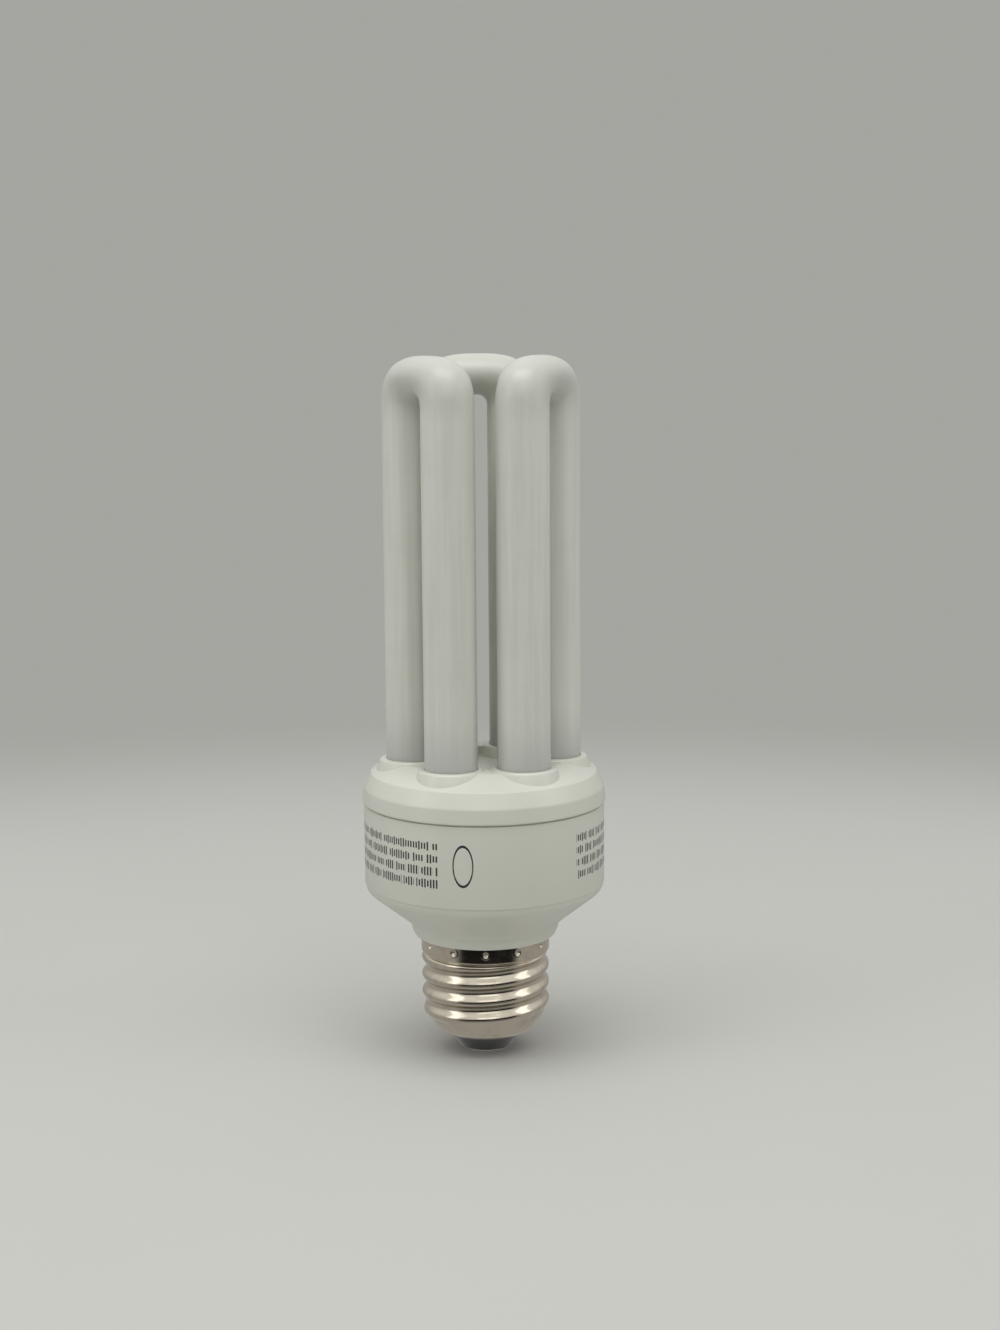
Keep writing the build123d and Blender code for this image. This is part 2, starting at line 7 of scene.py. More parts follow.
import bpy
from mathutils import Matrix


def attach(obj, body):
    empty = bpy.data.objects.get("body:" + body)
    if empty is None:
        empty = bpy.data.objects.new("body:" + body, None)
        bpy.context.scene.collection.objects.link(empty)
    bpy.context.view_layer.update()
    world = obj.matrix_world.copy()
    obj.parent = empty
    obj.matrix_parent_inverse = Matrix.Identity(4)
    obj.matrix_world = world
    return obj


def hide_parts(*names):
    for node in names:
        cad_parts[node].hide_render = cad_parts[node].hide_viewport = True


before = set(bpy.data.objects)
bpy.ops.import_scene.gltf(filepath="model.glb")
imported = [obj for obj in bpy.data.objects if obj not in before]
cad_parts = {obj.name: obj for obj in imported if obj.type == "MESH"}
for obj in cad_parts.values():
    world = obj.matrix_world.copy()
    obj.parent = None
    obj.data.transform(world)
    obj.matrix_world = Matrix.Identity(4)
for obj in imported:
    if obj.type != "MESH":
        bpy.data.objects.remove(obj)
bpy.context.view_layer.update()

import logging
import math
from dataclasses import dataclass
from enum import Enum
from typing import Callable, Sequence

import bpy
from mathutils import Matrix, Vector

LOG = logging.getLogger("lamp")
MM = 0.001
TURN = 2 * math.pi
WELD = 0.002 * MM
FINE_WELD = 0.0005 * MM
# Millimetres within which a vertex counts as being at a height.
NEAR = 0.01
Colour = tuple[float, float, float]
Sockets = dict[str | int, object]


class Axis(Enum):
    """Main directions of the lamp's frame."""

    X = (1.0, 0.0, 0.0)
    Y = (0.0, 1.0, 0.0)
    Z = (0.0, 0.0, 1.0)

    def turn(self, degrees: float) -> Matrix:
        """Returns a turn round this axis."""
        return Matrix.Rotation(math.radians(degrees), 4, self.name)


# ---- Shader maths ----


def operator(operation: str, swapped: bool = False) -> Callable[["Value", "Value | float"], "Value"]:
    """Returns an operator method that adds one Math node.

    Args:
        operation: the Math node's operation.
        swapped: whether the other value comes first.

    Returns:
        The method.
    """

    def method(self: "Value", other: "Value | float") -> "Value":
        """Returns the operator's result."""
        return self.math(operation, other, self) if swapped else self.math(operation, self, other)

    return method


class Value:
    """A shader socket on which Python arithmetic adds Math nodes."""

    __add__ = operator("ADD")
    __radd__ = operator("ADD", True)
    __sub__ = operator("SUBTRACT")
    __rsub__ = operator("SUBTRACT", True)
    __mul__ = operator("MULTIPLY")
    __rmul__ = operator("MULTIPLY", True)
    __truediv__ = operator("DIVIDE")
    __lt__ = operator("LESS_THAN")
    __gt__ = operator("GREATER_THAN")

    def __init__(self, sheet: "MaterialSheet", socket: bpy.types.NodeSocket) -> None:
        """Wraps one output socket of a sheet."""
        self.sheet = sheet
        self.socket = socket

    def math(self, operation: str, *inputs: "Value | float") -> "Value":
        """Adds one Math node.

        Args:
            operation: the Math node's operation.
            inputs: its sockets in order, links or numbers.

        Returns:
            The node's result.
        """
        made = self.sheet.node("ShaderNodeMath", {"operation": operation}, dict(enumerate(inputs)))
        return Value(self.sheet, made.outputs[0])

    def __abs__(self) -> "Value":
        """Returns the value without its sign."""
        return self.math("ABSOLUTE", self)

    def root(self) -> "Value":
        """Returns the square root."""
        return self.math("SQRT", self)

    def floor(self) -> "Value":
        """Returns the next whole number below."""
        return self.math("FLOOR", self)

    def fract(self) -> "Value":
        """Returns what is left of the value above its whole number."""
        return self.math("FRACT", self)

    def smooth(self, low: float, high: float) -> "Value":
        """Returns a soft step from 0 at low to 1 at high."""
        made = self.sheet.node(
            "ShaderNodeMapRange",
            {"interpolation_type": "SMOOTHSTEP"},
            {"Value": self, "From Min": low, "From Max": high},
        )
        return Value(self.sheet, made.outputs[0])

    def band(self, low: float, low_full: float, high_full: float, high: float) -> "Value":
        """Returns 1 between two full values, with soft steps to 0 at low and at high."""
        return self.smooth(low, low_full) * (1 - self.smooth(high_full, high))


class MaterialSheet:
    """A material or world whose node tree is written in Python."""

    def __init__(self, tree: bpy.types.NodeTree) -> None:
        """Starts with an empty node tree."""
        self.tree = tree
        self.tree.nodes.clear()
        self.places: dict[tuple[float, float, float], bpy.types.NodeSocket] = {}

    def node(self, kind: str, settings: dict[str, object], sockets: Sockets) -> bpy.types.Node:
        """Adds one node of any type.

        Args:
            kind: the node's type.
            settings: its properties, set before the sockets.
            sockets: values or links of its inputs, by name or number.

        Returns:
            The node.
        """
        made = self.tree.nodes.new(kind)
        for name, value in settings.items():
            setattr(made, name, value)
        for name, value in sockets.items():
            socket = made.inputs[name]
            if isinstance(value, Value):
                self.tree.links.new(value.socket, socket)
            elif isinstance(value, bpy.types.NodeSocket):
                self.tree.links.new(value, socket)
            elif socket.type == "RGBA":
                socket.default_value = (*value, 1.0)
            else:
                socket.default_value = value
        return made

    def place(self, scale: tuple[float, float, float] = (1.0, 1.0, 1.0)) -> bpy.types.NodeSocket:
        """Returns the surface's place in millimetres, each axis times its scale."""
        if scale not in self.places:
            source = self.node("ShaderNodeTexCoord", {}, {})
            factors = tuple(factor / MM for factor in scale)
            scaled = self.node(
                "ShaderNodeVectorMath", {"operation": "MULTIPLY"}, {0: source.outputs["Object"], 1: factors}
            )
            self.places[scale] = scaled.outputs[0]
        return self.places[scale]

    def axes(self) -> tuple[Value, Value, Value]:
        """Returns x, y and z of the surface in millimetres."""
        split = self.node("ShaderNodeSeparateXYZ", {}, {0: self.place()})
        return tuple(Value(self, output) for output in split.outputs)

    def noise(self, size: float, detail: float = 3.0, stretch: tuple[float, float, float] = (1.0, 1.0, 1.0)) -> Value:
        """Returns soft noise from 0 to 1.

        Args:
            size: size of a patch in millimetres.
            detail: how many finer layers are added.
            stretch: how much shorter the patch is along each axis.

        Returns:
            The noise.
        """
        made = self.node(
            "ShaderNodeTexNoise",
            {"noise_dimensions": "3D"},
            {"Vector": self.place(stretch), "Scale": 1 / size, "Detail": detail, "Roughness": 0.55},
        )
        return Value(self, made.outputs["Fac"])

    def cells(self, size: float, seed: float = 0.0) -> Value:
        """Returns the distance to the nearest of scattered points, in cells of a size in millimetres."""
        made = self.node(
            "ShaderNodeTexVoronoi",
            {"feature": "F1"},
            {"Vector": self.place((1.0, 1.0, 1.0 + seed)), "Scale": 1 / size},
        )
        return Value(self, made.outputs["Distance"])

    def mix(self, share: Value, low: object, high: object) -> bpy.types.NodeSocket:
        """Returns a colour between two colours."""
        made = self.node("ShaderNodeMix", {"data_type": "RGBA"}, {0: share, 6: low, 7: high})
        return made.outputs[2]

    def bump(self, height: Value, depth: float) -> bpy.types.NodeSocket:
        """Returns a normal for a height from 0 to 1 that stands for a depth in millimetres."""
        made = self.node("ShaderNodeBump", {}, {"Height": height, "Distance": depth * MM, "Strength": 1.0})
        return made.outputs[0]


# ---- Finishes ----


@dataclass(frozen=True)
class Finish:
    """A finish whose material is one Principled shader."""

    name: str

    def sockets(self, sheet: MaterialSheet) -> Sockets:
        """Returns what goes into the shader's sockets.

        Args:
            sheet: the sheet that the finish adds its nodes to.

        Returns:
            Values, colours and links by the socket's name.
        """
        raise NotImplementedError

    def make(self) -> bpy.types.Material:
        """Returns the finish as a new material."""
        material = bpy.data.materials.new(self.name)
        material.use_nodes = True
        sheet = MaterialSheet(material.node_tree)
        shader = sheet.node("ShaderNodeBsdfPrincipled", {}, self.sockets(sheet))
        sheet.node("ShaderNodeOutputMaterial", {}, {"Surface": shader.outputs[0]})
        return material


@dataclass(frozen=True)
class CoatedGlass(Finish):
    """Glass tube with a white powder coat on its inner wall."""

    name: str = "coated_tube_glass"
    powder: Colour = (0.72, 0.73, 0.67)
    thin_powder: Colour = (0.62, 0.63, 0.57)
    foot_tint: Colour = (0.50, 0.51, 0.50)
    bend_tint: Colour = (0.56, 0.57, 0.52)
    bend_zone: tuple[float, float] = (128.0, 139.0)
    foot_zone: tuple[float, float] = (61.0, 73.0)
    scatter_depth: float = 5.0

    def sockets(self, sheet: MaterialSheet) -> Sockets:
        """Returns the sockets of a coat streaked along the tubes and thinner in patches at the bends."""
        z = sheet.axes()[2]
        streaks = sheet.noise(1.6, 3.0, (1.0, 1.0, 0.03)).smooth(0.35, 0.68)
        clouds = sheet.noise(9.0, 2.0).smooth(0.38, 0.72)
        bend_zone = z.smooth(*self.bend_zone)
        mottles = sheet.noise(3.4, 4.0).smooth(0.45, 0.66) * bend_zone
        specks = sheet.cells(3.1) < 0.035
        wear = streaks * 0.50 + clouds * 0.22 + mottles * 0.35 + specks * 0.25
        powder = sheet.mix(wear, self.powder, self.thin_powder)
        foot = 1 - z.smooth(*self.foot_zone)
        greyed = sheet.mix(bend_zone * 0.85, sheet.mix(foot * 0.6, powder, self.foot_tint), self.bend_tint)
        ripple = sheet.noise(5.0, 1.0, (1.0, 1.0, 0.25)) * 0.8 + mottles * 0.2
        return {
            "Base Color": greyed,
            "Roughness": 0.34 + 0.10 * clouds,
            "IOR": 1.5,
            "Coat Weight": 0.20,
            "Coat Roughness": 0.10,
            "Subsurface Weight": 0.5,
            "Subsurface Radius": (1.0, 1.0, 0.9),
            "Subsurface Scale": self.scatter_depth * MM,
            "Normal": sheet.bump(ripple, 0.05),
        }


@dataclass(frozen=True)
class MouldedPlastic(Finish):
    """Glossy white moulded plastic with faint flow marks and a fine skin."""

    name: str = "moulded_white_plastic"
    colour: Colour = (0.69, 0.70, 0.62)
    shade: Colour = (0.63, 0.64, 0.56)
    ink: Colour = (0.035, 0.037, 0.042)
    roughness: float = 0.30

    def skin(self, sheet: MaterialSheet) -> tuple[bpy.types.NodeSocket, Value, bpy.types.NodeSocket]:
        """Returns the colour, roughness and normal of the bare plastic."""
        flow = sheet.noise(14.0, 2.0, (1.0, 1.0, 0.35)).smooth(0.35, 0.75)
        grain = sheet.noise(0.35, 2.0)
        dust = (sheet.cells(4.3) < 0.028) + (sheet.cells(7.7, 0.3) < 0.02)
        tint = flow * 0.35 + dust * 0.6
        waves = sheet.noise(6.0, 1.0) * 0.85 + grain * 0.15
        colour = sheet.mix(tint, self.colour, self.shade)
        return colour, self.roughness + 0.08 * flow, sheet.bump(waves, 0.035)

    def ink_share(self, sheet: MaterialSheet) -> Value | float:
        """Returns how much ink covers the plastic, from 0 to 1."""
        return 0.0

    def sockets(self, sheet: MaterialSheet) -> Sockets:
        """Returns what goes into the shader's sockets."""
        colour, roughness, normal = self.skin(sheet)
        ink = self.ink_share(sheet)
        return {
            "Base Color": sheet.mix(ink, colour, self.ink),
            "Roughness": roughness + 0.12 * ink,
            "IOR": 1.49,
            "Coat Weight": 0.25,
            "Coat Roughness": 0.12,
            "Normal": normal,
        }


@dataclass(frozen=True)
class PrintBlock:
    """Rows of short bars printed round part of the housing."""

    start: float
    stop: float
    seed: float


@dataclass(frozen=True)
class PrintedPlastic(MouldedPlastic):
    """The housing's plastic with two blocks of plain printed bars and an empty oval ring."""

    name: str = "printed_white_plastic"
    radius: float = 24.5
    print_depth: float = 0.4
    row_top: float = 47.8
    row_step: float = 2.49
    row_count: int = 4
    bar_height: float = 1.25
    tall_share: float = 0.42
    tall_extra: float = 0.38
    cell: float = 0.64
    stroke: float = 0.28
    word: int = 5
    row_shift: float = 0.37
    space: float = 0.9
    space_share: float = 0.7
    blocks: tuple[PrintBlock, ...] = (
        PrintBlock(-178.0, -115.4, 3.0),
        PrintBlock(-45.5, -4.0, 11.0),
    )
    oval_angle: float = -103.4
    oval_height: float = 44.2
    oval_half_height: float = 4.0
    oval_half_width: float = 1.95
    oval_line: float = 0.26

    def bars(self, sheet: MaterialSheet, block: PrintBlock, angle: Value, z: Value) -> Value:
        """Returns 1 on the bars of one block."""
        arc = angle * (math.radians(1.0) * self.radius)
        row = (self.row_top + self.row_step / 2 - z) / self.row_step
        inside = (row > 0.0) * (row < float(self.row_count))
        cell = arc / self.cell
        chance = self.random(sheet, cell.floor(), row.floor(), block.seed)
        tall = chance < self.tall_share
        half = self.bar_height / self.row_step / 2
        in_row = abs(row.fract() - 0.5) < half * (1 + self.tall_extra * tall)
        stroke = abs(cell.fract() - 0.5) < self.stroke
        words = cell / self.word + row.floor() * self.row_shift
        chance_of_space = self.random(sheet, words.floor(), row.floor(), block.seed + 5)
        gap = words.fract() * self.word < self.space * (chance_of_space < self.space_share)
        in_block = (angle > block.start) * (angle < block.stop)
        return inside * in_row * stroke * (1 - gap) * in_block

    def random(self, sheet: MaterialSheet, column: Value, row: Value, seed: float) -> Value:
        """Returns one random number from 0 to 1 for each column and row."""
        corner = sheet.node("ShaderNodeCombineXYZ", {}, {0: column, 1: row, 2: seed})
        noise = sheet.node("ShaderNodeTexWhiteNoise", {"noise_dimensions": "3D"}, {"Vector": corner.outputs[0]})
        return Value(sheet, noise.outputs["Value"])

    def oval(self, angle: Value, z: Value) -> Value:
        """Returns 1 on the line of the oval ring."""
        across = (angle - self.oval_angle) * (math.radians(1.0) * self.radius / self.oval_half_width)
        along = (z - self.oval_height) / self.oval_half_height
        reach = (across * across + along * along).root()
        return abs(reach - 1.0) < self.oval_line / 2 / self.oval_half_width

    def ink_share(self, sheet: MaterialSheet) -> Value:
        """Returns how much ink covers the plastic, worn in small places."""
        x, y, z = sheet.axes()
        angle = x.math("ARCTAN2", y, x) * math.degrees(1.0)
        print_mask = self.oval(angle, z)
        for block in self.blocks:
            print_mask = print_mask + self.bars(sheet, block, angle, z)
        outside = (x * x + y * y) > (self.radius - self.print_depth) ** 2
        worn = 1 - sheet.noise(0.5, 3.0).smooth(0.62, 0.78) * 0.45
        printed = print_mask * outside * worn
        return printed.math("MINIMUM", printed, 1.0)


@dataclass(frozen=True)
class Plate(Finish):
    """Bright metal plate with fine drawing lines, a soft tarnish and small scuffs."""

    name: str
    bright: Colour
    tarnish: Colour
    roughness: float = 0.13
    line_stretch: tuple[float, float, float] = (0.12, 0.12, 2.5)
    tarnish_share: float = 0.5

    def sockets(self, sheet: MaterialSheet) -> Sockets:
        """Returns what goes into the shader's sockets."""
        clouds = sheet.noise(3.2, 4.0).smooth(0.42, 0.74)
        lines = sheet.noise(0.6, 3.0, self.line_stretch)
        scuffs = sheet.noise(0.9, 5.0).smooth(0.60, 0.74)
        return {
            "Base Color": sheet.mix(clouds * self.tarnish_share, self.bright, self.tarnish),
            "Metallic": 1.0,
            "Roughness": self.roughness + 0.09 * clouds + 0.12 * scuffs,
            "Normal": sheet.bump(lines * 0.7 + scuffs * 0.3, 0.010),
        }


@dataclass(frozen=True)
class Body(Finish):
    """Opaque body such as ceramic, glass, lacquer or laminate, with mottles and a fine relief."""

    name: str
    colour: Colour
    second: Colour
    roughness: float = 0.5
    patch: float = 2.0
    stretch: tuple[float, float, float] = (1.0, 1.0, 1.0)
    relief: float = 0.02
    coat: float = 0.0
    metallic: float = 0.0

    def sockets(self, sheet: MaterialSheet) -> Sockets:
        """Returns what goes into the shader's sockets."""
        mottles = sheet.noise(self.patch, 4.0, self.stretch).smooth(0.36, 0.70)
        fine = sheet.noise(self.patch / 6, 2.0, self.stretch)
        return {
            "Base Color": sheet.mix(mottles * 0.7 + fine * 0.3, self.colour, self.second),
            "Metallic": self.metallic,
            "Roughness": self.roughness + 0.10 * mottles,
            "Coat Weight": self.coat,
            "Coat Roughness": 0.06,
            "Normal": sheet.bump(fine * 0.5 + mottles * 0.5, self.relief),
        }


@dataclass(frozen=True)
class Windings(Finish):
    """Lacquered copper wire wound side by side round the vertical axis, with painted shade in the grooves between
    turns.
    """

    name: str = "enamelled_copper"
    copper: Colour = (0.62, 0.27, 0.11)
    # Darker copper used for painted shade in the grooves between turns and for random patches.
    gap: Colour = (0.20, 0.075, 0.03)
    wire: float = 0.42

    def sockets(self, sheet: MaterialSheet) -> Sockets:
        """Returns what goes into the shader's sockets."""
        z = sheet.axes()[2]
        across = abs((z / self.wire).fract() - 0.5) * 2
        crown = 1 - across * across
        # Painted shade: the grooves between the turns of wire take the darker colour.
        groove_shade = across.smooth(0.72, 1.0)
        patches = sheet.noise(2.4, 2.0).smooth(0.4, 0.7)
        return {
            "Base Color": sheet.mix(groove_shade * 0.8 + patches * 0.2, self.copper, self.gap),
            "Metallic": 0.85,
            "Roughness": 0.26 + 0.10 * patches,
            "Coat Weight": 0.6,
            "Coat Roughness": 0.10,
            "Normal": sheet.bump(crown, 0.12),
        }


@dataclass(frozen=True)
class BandedBody(Finish):
    """Small lacquered component body with colour bands along X."""

    name: str
    colour: Colour
    bands: tuple[tuple[float, float, Colour], ...]
    roughness: float = 0.30

    def sockets(self, sheet: MaterialSheet) -> Sockets:
        """Returns what goes into the shader's sockets."""
        x = sheet.axes()[0]
        mottles = sheet.noise(0.7, 3.0).smooth(0.4, 0.7)
        colour = sheet.mix(mottles * 0.25, self.colour, tuple(part * 0.7 for part in self.colour))
        for middle, width, band in self.bands:
            colour = sheet.mix(abs(x - middle) < width / 2, colour, band)
        return {
            "Base Color": colour,
            "Roughness": self.roughness + 0.08 * mottles,
            "Coat Weight": 0.3,
            "Normal": sheet.bump(mottles, 0.02),
        }


@dataclass(frozen=True)
class TablePaint(Finish):
    """Plain paint that fades out into the room and is seen through from below."""

    name: str = "table_paint"
    colour: Colour = (0.58, 0.58, 0.555)
    fade: tuple[float, float] = (130.0, 380.0)

    def sockets(self, sheet: MaterialSheet) -> Sockets:
        """Returns the sockets of a faintly clouded colour."""
        x, y, _ = sheet.axes()
        away = (x * x + y * y).root()
        cloud = sheet.noise(60.0, 2.0).smooth(0.3, 0.8)
        below = Value(sheet, sheet.node("ShaderNodeNewGeometry", {}, {}).outputs["Backfacing"])
        return {
            "Base Color": sheet.mix(cloud * 0.12, self.colour, tuple(0.9 * part for part in self.colour)),
            "Roughness": 0.75,
            "Specular IOR Level": 0.2,
            "Alpha": (1 - away.smooth(*self.fade)) * (1 - below),
        }


# ---- Modelling ----


def deselect() -> None:
    """Leaves edit mode and deselects every object."""
    if bpy.context.object and bpy.context.object.mode != "OBJECT":
        bpy.ops.object.mode_set(mode="OBJECT")
    bpy.ops.object.select_all(action="DESELECT")


def choose(obj: bpy.types.Object) -> None:
    """Selects one object only and makes it the active one."""
    deselect()
    obj.select_set(True)
    bpy.context.view_layer.objects.active = obj


def apply_place() -> None:
    """Applies the selected object's place, turn and size to its mesh."""
    bpy.ops.object.transform_apply(location=True, rotation=True, scale=True)


def edit(obj: bpy.types.Object) -> None:
    """Opens one object in edit mode with nothing in it selected."""
    choose(obj)
    bpy.ops.object.mode_set(mode="EDIT")
    bpy.ops.mesh.select_all(action="DESELECT")


def select_vertices(obj: bpy.types.Object, test: Callable[[Vector], bool]) -> None:
    """Selects the vertices of an object that pass a test on their place in millimetres."""
    bpy.ops.object.mode_set(mode="OBJECT")
    for edge in obj.data.edges:
        edge.select = False
    for face in obj.data.polygons:
        face.select = False
    for vertex in obj.data.vertices:
        vertex.select = test(vertex.co / MM)
    bpy.ops.object.mode_set(mode="EDIT")
    bpy.ops.mesh.select_mode(type="VERT")


def settle(obj: bpy.types.Object, angle: float = 30.0) -> bpy.types.Object:
    """Closes seams, points faces outwards, shades smooth and applies the object's place.

    Args:
        obj: the piece.
        angle: edges sharper than this many degrees stay sharp.

    Returns:
        The piece.
    """
    edit(obj)
    bpy.ops.mesh.select_all(action="SELECT")
    bpy.ops.mesh.remove_doubles(threshold=WELD)
    bpy.ops.mesh.normals_make_consistent(inside=False)
    choose(obj)
    apply_place()
    bpy.ops.object.shade_smooth_by_angle(angle=math.radians(angle))
    return obj


def join(pieces: Sequence[bpy.types.Object]) -> bpy.types.Object:
    """Joins pieces into the first of them."""
    deselect()
    for piece in pieces:
        piece.select_set(True)
    bpy.context.view_layer.objects.active = pieces[0]
    bpy.ops.object.join()
    return pieces[0]


def copy_turned(obj: bpy.types.Object, angle: float) -> bpy.types.Object:
    """Returns a copy with its own mesh, turned round the lamp's axis by an angle in degrees."""
    twin = obj.copy()
    twin.data = obj.data.copy()
    bpy.context.collection.objects.link(twin)
    twin.data.transform(Axis.Z.turn(angle))
    return twin


def dress(obj: bpy.types.Object, material: bpy.types.Material) -> None:
    """Gives an object one material."""
    obj.data.materials.clear()
    obj.data.materials.append(material)


def hand_over(obj: bpy.types.Object, slot: str, *nodes: str) -> None:
    """Registers a finished piece with the frame and reports it.

    Args:
        obj: the piece.
        slot: not used.
        nodes: the CAD nodes that it stands for.
    """
    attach(obj, "root")
    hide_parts(*nodes)
    LOG.info("%s: %d faces, for %s", obj.name, len(obj.data.polygons), ", ".join(nodes))


def deliver(obj: bpy.types.Object, finish: Finish, slot: str, node: str, angle: float = 30.0) -> None:
    """Settles a turned piece, dresses it in its finish and hands it over.

    Args:
        obj: the piece.
        finish: its finish.
        slot: passed on to hand_over, which does not use it.
        node: the CAD node that the piece stands for.
        angle: edges sharper than this many degrees stay sharp.
    """
    settle(obj, angle)
    dress(obj, finish.make())
    hand_over(obj, slot, node)


@dataclass(frozen=True)
class Corner:
    """A corner of a turned profile: radius, height and the rounding of the corner."""

    radius: float
    height: float
    rounding: float = 0.0
    segments: int = 8


def rounded(corners: Sequence[Corner], closed: bool) -> list[tuple[float, float]]:
    """Returns the profile's points with each rounded corner as an arc.

    Args:
        corners: the profile's corners in order.
        closed: whether the last corner joins the first.

    Returns:
        Points of radius and height.
    """
    points: list[tuple[float, float]] = []
    count = len(corners)
    for index, corner in enumerate(corners):
        here = Vector((corner.radius, corner.height))
        ends = not closed and index in (0, count - 1)
        if ends or corner.rounding == 0.0:
            points.append(tuple(here))
            continue
        before = corners[index - 1]
        after = corners[(index + 1) % count]
        back = (Vector((before.radius, before.height)) - here).normalized()
        ahead = (Vector((after.radius, after.height)) - here).normalized()
        half = back.angle(ahead) / 2
        tangent = corner.rounding / math.tan(half)
        centre = here + (back + ahead).normalized() * (corner.rounding / math.sin(half))
        first = here + back * tangent - centre
        last = here + ahead * tangent - centre
        swing = first.angle_signed(last)
        for step in range(corner.segments + 1):
            turned = first.copy()
            turned.rotate(Matrix.Rotation(-swing * step / corner.segments, 2))
            points.append(tuple(centre + turned))
    return points


def turn_profile(
    name: str, points: Sequence[tuple[float, float]], steps: int = 192, closed: bool = False
) -> bpy.types.Object:
    """Turns a profile round the lamp's axis.

    Args:
        name: the piece's name.
        points: radius and height of the profile's points, in order.
        steps: faces round the axis.
        closed: whether the last point joins the first.

    Returns:
        The turned piece.
    """
    deselect()
    bpy.ops.mesh.primitive_plane_add(size=MM, location=(0, 0, 0))
    obj = bpy.context.object
    obj.name = obj.data.name = name
    bpy.ops.object.mode_set(mode="EDIT")
    bpy.ops.mesh.select_all(action="SELECT")
    bpy.ops.mesh.merge(type="CENTER")
    start_radius, start_height = points[0]
    bpy.ops.transform.translate(value=(start_radius * MM, 0, start_height * MM))
    onward = [*points[1:], points[0]] if closed else points[1:]
    for (radius, height), (next_radius, next_height) in zip(points, onward):
        step = ((next_radius - radius) * MM, 0, (next_height - height) * MM)
        bpy.ops.mesh.extrude_region_move(TRANSFORM_OT_translate={"value": step})
    bpy.ops.mesh.select_all(action="SELECT")
    bpy.ops.mesh.remove_doubles(threshold=FINE_WELD)
    bpy.ops.mesh.spin(steps=steps, angle=TURN, center=(0, 0, 0), axis=Axis.Z.value, use_auto_merge=True)
    bpy.ops.mesh.select_all(action="SELECT")
    bpy.ops.mesh.remove_doubles(threshold=FINE_WELD)
    bpy.ops.object.mode_set(mode="OBJECT")
    return obj


def add_cylinder(radius: float, bottom: float, top: float, place: tuple[float, float], sides: int) -> bpy.types.Object:
    """Returns an upright cylinder between two heights, all in millimetres."""
    deselect()
    bpy.ops.mesh.primitive_cylinder_add(
        vertices=sides,
        radius=radius * MM,
        depth=(top - bottom) * MM,
        location=(place[0] * MM, place[1] * MM, (top + bottom) / 2 * MM),
    )
    cylinder = bpy.context.object
    apply_place()
    return cylinder


class Cut(Enum):
    """How one solid changes another."""

    ADD = "UNION"
    TAKE = "DIFFERENCE"


def combine(obj: bpy.types.Object, tool: bpy.types.Object, cut: Cut) -> None:
    """Applies a Boolean modifier and removes the tool."""
    choose(obj)
    modifier = obj.modifiers.new("combine", "BOOLEAN")
    modifier.operation = cut.value
    modifier.solver = "EXACT"
    modifier.object = tool
    bpy.ops.object.modifier_apply(modifier=modifier.name)
    bpy.data.objects.remove(tool)


def on_circle(radius: float, angle: float) -> tuple[float, float]:
    """Returns the point of a circle round the axis at an angle in degrees."""
    return radius * math.cos(math.radians(angle)), radius * math.sin(math.radians(angle))


# ---- Pieces ----


